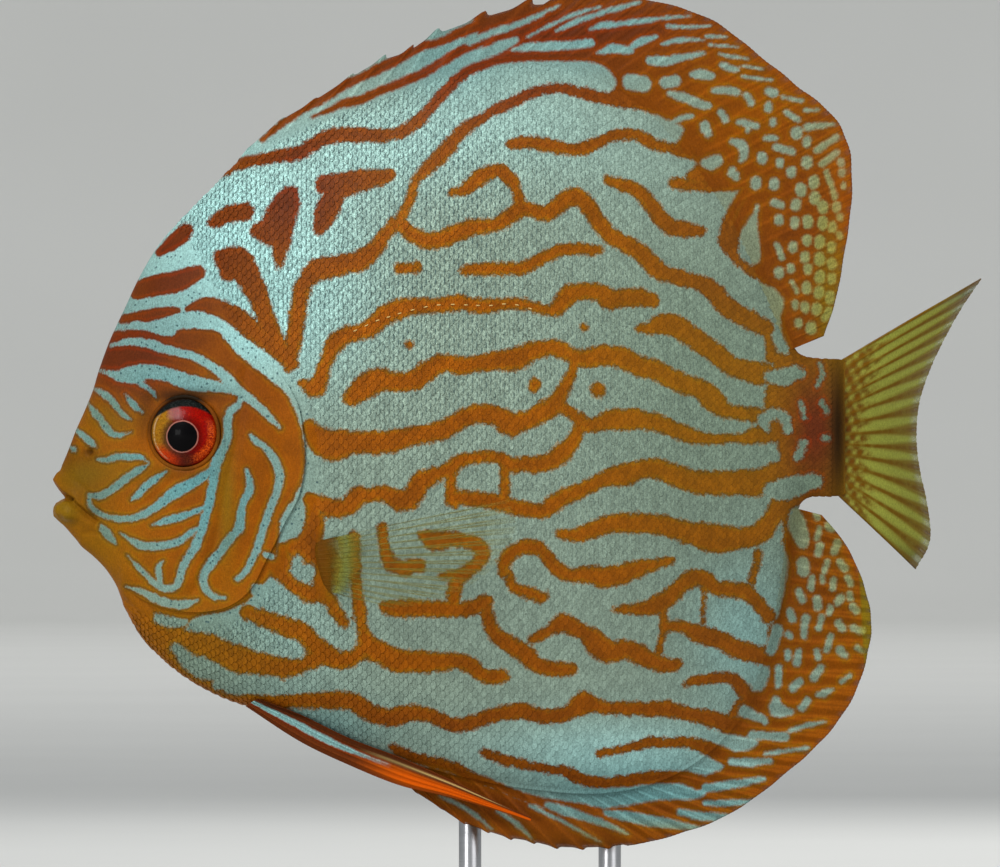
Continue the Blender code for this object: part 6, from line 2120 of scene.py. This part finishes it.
@dataclass(frozen=True)
class EyeFinish:
    """The eye, painted by the distance from its middle: black pupil, thin pink ring, gold to red iris, with
    painted shade from the lid and orbit and a painted highlight.
    """

    side: Side
    middle: tuple[float, float] = (186.3, 432.8)
    pupil_middle: tuple[float, float] = (183.7, 436.5)
    pupil: float = 15.2

    def polar(self, s: Shader, centre: tuple[float, float]) -> tuple[Value, Value, Value]:
        """Chart distances from a place: towards the tail, upwards, and the root of their squares' sum.

        Args:
            s: the material being made.
            centre: the chart place to measure from.

        Returns:
            The three distances.
        """
        origin = (float(CHART.x(centre[0])), 0.0, float(CHART.z(centre[1])))
        moved = s.node("ShaderNodeVectorMath", {"operation": "SUBTRACT"}, {0: s.place(), 1: origin}, "Vector")
        across, up = (s.node("ShaderNodeSeparateXYZ", {}, {0: moved}, k) / CHART.unit for k in (0, 2))
        return across, up, s.node("ShaderNodeMath", {"operation": "SQRT"}, {0: across * across + up * up})

    def material(self) -> bpy.types.Material:
        """Builds the material."""
        gloss = {"specular_ior_level": 0.03, "coat_weight": 0.04, "coat_roughness": 0.05}
        s = Shader(f"eye_{self.side.word}", roughness=0.36, **gloss)
        across, up, radius = self.polar(s, self.pupil_middle)
        ball_up, ball_radius = self.polar(s, self.middle)[1:]
        uneven = (s.noise(700, 2.0) - 0.5) * 2.0
        radius = radius + uneven * 0.5
        angle = s.node("ShaderNodeMath", {"operation": "ARCTAN2"}, {0: up, 1: across})
        streak_place = s.node("ShaderNodeCombineXYZ", {}, {0: angle * 5.0, 1: radius * 0.12, 2: 0.0})
        inputs = {"Vector": streak_place, "Scale": 2.4, "Detail": 4.0, "Roughness": 0.65}
        streak = s.node("ShaderNodeTexNoise", {}, inputs, "Fac")
        aft = s.step(across + up * 0.35 + (streak - 0.5) * 14.0, -10.0, 2.0)
        low = s.step(up + uneven * 2.0, -4.0, -18.0)
        fine = s.noise(3400, 3.0, 0.7)
        iris = s.mix(aft, paint(146, 100, 20), paint(140, 8, 2))
        iris = s.mix(low * (1 - aft), iris, paint(184, 54, 10))
        outer = s.step(ball_radius + uneven, 21.0, 26.0) * (1 - s.step(ball_radius, 29.0, 33.0))
        glow = outer * aft * s.step(up, 20.0, 6.0) * s.step(fine, 0.36, 0.60)
        iris = s.mix(glow * 0.8, iris, paint(216, 88, 20))
        iris = s.mix(s.step(streak, 0.50, 0.64) * 0.5, iris, paint(104, 18, 4))
        iris = s.mix(s.step(streak, 0.42, 0.28) * 0.32, iris, paint(206, 88, 22))
        inner = s.step(radius, 24.0, 17.0)
        iris = s.mix(inner * 0.85, iris, s.mix(aft, paint(58, 34, 22), paint(92, 5, 2)))
        foot = s.step(across + uneven, -14.0, 2.0) * s.step(across, 22.0, 4.0)
        foot = foot * s.step(up + uneven, -11.0, -21.0)
        iris = s.mix(foot * 0.85, iris, paint(46, 16, 14))
        iris = s.shade(iris, 1.0 + (fine - 0.5) * 1.9)
        ring_from, ring_to = self.pupil, self.pupil + 0.45
        ring = s.step(radius, ring_from - 0.6, ring_from + 0.2) * (1 - s.step(radius, ring_to, ring_to + 0.9))
        iris = s.mix(ring * (0.35 + streak * 0.8), iris, paint(176, 116, 102))
        # Painted highlight: a soft pinkish grey patch above the pupil, towards the snout
        soft_highlight = s.step(across + uneven, -17.0, -11.0) * s.step(across, 0.0, -6.0) * s.step(up, 15.0, 20.0)
        iris = s.mix(soft_highlight * 0.5, iris, paint(150, 112, 110))
        edge_line = s.step(ball_radius, 30.0, 31.0) * (1 - s.step(ball_radius, 31.6, 32.6))
        edge_line = edge_line * s.step(across, -12.0, -20.0)
        iris = s.mix(edge_line * s.step(streak, 0.36, 0.6) * 0.6, iris, paint(196, 164, 120))
        # Painted shadow of the upper lid: a dark crescent over the top of the ball, flecked grey
        lid_shadow = s.step(ball_radius + (ball_up - 17.0) * 0.62 + uneven, 30.0, 33.5) * s.step(ball_up, 2.0, 12.0)
        iris = s.mix(lid_shadow, iris, s.mix(s.step(fine, 0.45, 0.75) * 0.6, paint(14, 18, 16), paint(62, 68, 64)))
        # Painted shade where the ball sinks under the orbit's rim: dark brown beyond 32 units from its middle
        colour = s.mix(s.step(ball_radius, 32.0, 34.5), iris, paint(34, 18, 10))
        colour = s.mix(s.step(radius, self.pupil + 0.2, self.pupil - 0.7), colour, paint(6, 5, 6))
        s.feed("Base Color", colour)
        return s.material


@dataclass(frozen=True)
class LacquerFinish:
    """The stand's plate: black lacquer with faint clouding and a slightly uneven gloss."""

    def material(self) -> bpy.types.Material:
        """Builds the material."""
        s = Shader("black_lacquer", roughness=0.3, coat_weight=0.6, coat_roughness=0.08)
        cloud = s.noise(90, 5.0, 0.6)
        s.feed("Base Color", s.mix(cloud, paint(22, 22, 24), paint(44, 43, 44)))
        s.feed("Roughness", 0.22 + cloud * 0.16)
        s.bump(s.noise(1500, 2.0), 0.00003, 0.3)
        return s.material


@dataclass(frozen=True)
class SteelFinish:
    """The stand's rods: satin steel with fine turning marks round them."""

    def material(self) -> bpy.types.Material:
        """Builds the material."""
        s = Shader("satin_steel", metallic=1.0, roughness=0.28)
        marks = s.streaks((40.0, 40.0, 9000.0), 3.0)
        s.feed("Base Color", s.mix(marks, paint(176, 176, 178), paint(206, 206, 208)))
        s.feed("Roughness", 0.22 + marks * 0.18)
        s.bump(marks, 0.00002, 0.4)
        return s.material


@dataclass(frozen=True)
class PaperFinish:
    """The pale floor and backdrop."""

    def material(self) -> bpy.types.Material:
        """Builds the material."""
        s = Shader("pale_floor", roughness=0.9)
        s.feed("Base Color", s.mix(s.noise(6, 2.0), paint(202, 202, 198), paint(208, 208, 204)))
        return s.material


# The surroundings


@dataclass
class Studio:
    """A pale floor that curves up behind the model, soft lamps and the camera."""

    camera_distance: float = 3.0
    frame_width: float = 1000.0
    aim: tuple[float, float] = (500.0, 433.5)
    floor_half: float = 8.0
    wall: float = 5.6
    bend: float = 0.8
    wall_top: float = 3.2

    def floor(self) -> bpy.types.Object:
        """The floor: a flat that turns up through a quarter circle into a wall behind."""
        arc = np.linspace(0, math.pi / 2, 24)
        y = np.concatenate([[-self.floor_half], self.wall + self.bend * np.sin(arc), [self.wall + self.bend]])
        z = np.concatenate([[0.0], self.bend * (1 - np.cos(arc)), [self.wall_top]])
        x = np.linspace(-self.floor_half, self.floor_half, 3)
        gx, gy = np.meshgrid(x, y, indexing="ij")
        points = np.stack([gx, gy, np.broadcast_to(z, gx.shape)], axis=-1).reshape(-1, 3)
        mesh = bpy.data.meshes.new("floor")
        mesh.from_pydata(points.tolist(), [], grid_triangles(np.arange(gx.size).reshape(gx.shape)).tolist())
        mesh.shade_smooth()
        made = bpy.data.objects.new("floor", mesh)
        bpy.context.scene.collection.objects.link(made)
        made.data.materials.append(PaperFinish().material())
        return made

    def lamp(
        self, name: str, place: tuple[float, float, float], size: float, power: float,
        target: tuple[float, float, float] = (0.0, 0.0, 0.095),
    ) -> None:
        """A square soft lamp, aimed at the middle of the model or at a target.

        Args:
            name: the lamp's name.
            place: where it hangs.
            size: its side in metres.
            power: its power in watts.
            target: what it points at.
        """
        data = bpy.data.lights.new(name, "AREA")
        data.size, data.energy = size, power
        made = bpy.data.objects.new(name, data)
        made.location = place
        aim = Vector(target) - Vector(place)
        made.rotation_euler = aim.to_track_quat("-Z", "Y").to_euler()
        bpy.context.scene.collection.objects.link(made)

    def build(self) -> None:
        """Floor, lamps, sky and camera, with colours shown as they are."""
        self.floor()
        self.lamp("key_lamp", (-0.55, -0.75, 0.85), 0.35, 8.8)
        self.lamp("fill_lamp", (0.8, -0.9, 0.3), 0.8, 3.6)
        self.lamp("low_lamp", (-0.7, -0.9, 0.1), 0.3, 2.6)
        self.lamp("rear_lamp", (0.3, 1.0, 0.7), 0.6, 5.0)
        self.lamp("floor_lamp", (0.0, 4.0, 2.4), 3.5, 56.0, (0.0, 4.0, 0.0))
        world = bpy.data.worlds.new("studio")
        world.use_nodes = True
        sky = world.node_tree.nodes["Background"].inputs
        sky["Color"].default_value = (0.9, 0.95, 1.0, 1)
        sky["Strength"].default_value = 0.36
        bpy.context.scene.world = world
        data = bpy.data.cameras.new("camera")
        data.lens = data.sensor_width * self.camera_distance / (self.frame_width * CHART.unit)
        data.clip_end = 20.0
        camera = bpy.data.objects.new("camera", data)
        camera.location = (float(CHART.x(self.aim[0])), -self.camera_distance, float(CHART.z(self.aim[1])))
        camera.rotation_euler = (math.pi / 2, 0, 0)
        bpy.context.scene.collection.objects.link(camera)
        bpy.context.scene.camera = camera
        bpy.context.scene.view_settings.view_transform = "Standard"


# Putting the model together


def settle(
    piece: bpy.types.Object, material: bpy.types.Material, nodes: tuple[str, ...] = ()
) -> None:
    """Dresses a piece, fixes it to the model's one body and hides the solids that it stands for.

    Args:
        piece: the finished piece.
        material: its material.
        nodes: the CAD nodes that it replaces.
    """
    piece.data.materials.clear()
    piece.data.materials.append(material)
    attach(piece, "root")
    if nodes:
        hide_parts(*nodes)
    log.info("%s: %d triangles", piece.name, len(piece.data.polygons))


def main() -> None:
    """Builds and dresses every sub-assembly in order, then the surroundings."""
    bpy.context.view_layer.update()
    form, markings, area = BodyForm(), Markings(), CoatArea()
    skin_finish = FleshFinish(Covering.SKIN).material()
    lively = {"gloss": 0.06, "speckle": 2.3, "wander": (8.0, 5.5), "soft_edge": 1.8}
    scale_finish = FleshFinish(Covering.SCALE, **lively).material()
    fin_finish = FleshFinish(Covering.FIN, soft_edge=1.9).material()
    clear_finish = FleshFinish(Covering.CLEAR_FIN, speckle=0.8, soft_edge=3.0).material()
    skin = Skin(form, markings, area).build()
    settle(skin, skin_finish, ("head", "torso", "tail_stalk"))
    for side in Side:
        word = side.word
        settle(GillCover(form, markings, side).build(), skin_finish, (f"gill_cover_{word}",))
        eye = Eye(form, markings, side)
        settle(eye.ball(), EyeFinish(side).material(), (f"eye_{word}",))
        settle(eye.ring(), skin_finish)
        for piece in ScaleCoat(form, markings, area, side).build():
            settle(piece, scale_finish)
        settle(LateralLine(form, side).build(), skin_finish)
        settle(BreastFin(form, markings, side).build(), clear_finish, (f"pectoral_fin_{word}",))
        settle(BellyFin(form, side).build(), fin_finish, (f"pelvic_fin_{word}",))
    dorsal = MedianFin("back_fin", form, markings, DORSAL_RAYS, spines=9, soft_rays=30, upper=True)
    settle(dorsal.build(), fin_finish, ("dorsal_fin",))
    anal = MedianFin(
        "vent_fin", form, markings, ANAL_RAYS, spines=9, soft_rays=29, upper=False, tip_share=0.03
    )
    settle(anal.build(), fin_finish, ("anal_fin",))
    settle(TailFin(form, markings).build(), clear_finish, ("tail_fin",))
    stand = Stand(form)
    settle(stand.base(), LacquerFinish().material(), ("stand_base",))
    steel = SteelFinish().material()
    for name, place in stand.rod_places:
        settle(stand.rod(name, place), steel, (f"stand_rod_{name}",))
    Studio().build()


if __name__ == "__main__":
    logging.basicConfig(level=logging.INFO, format="%(message)s")
    main()
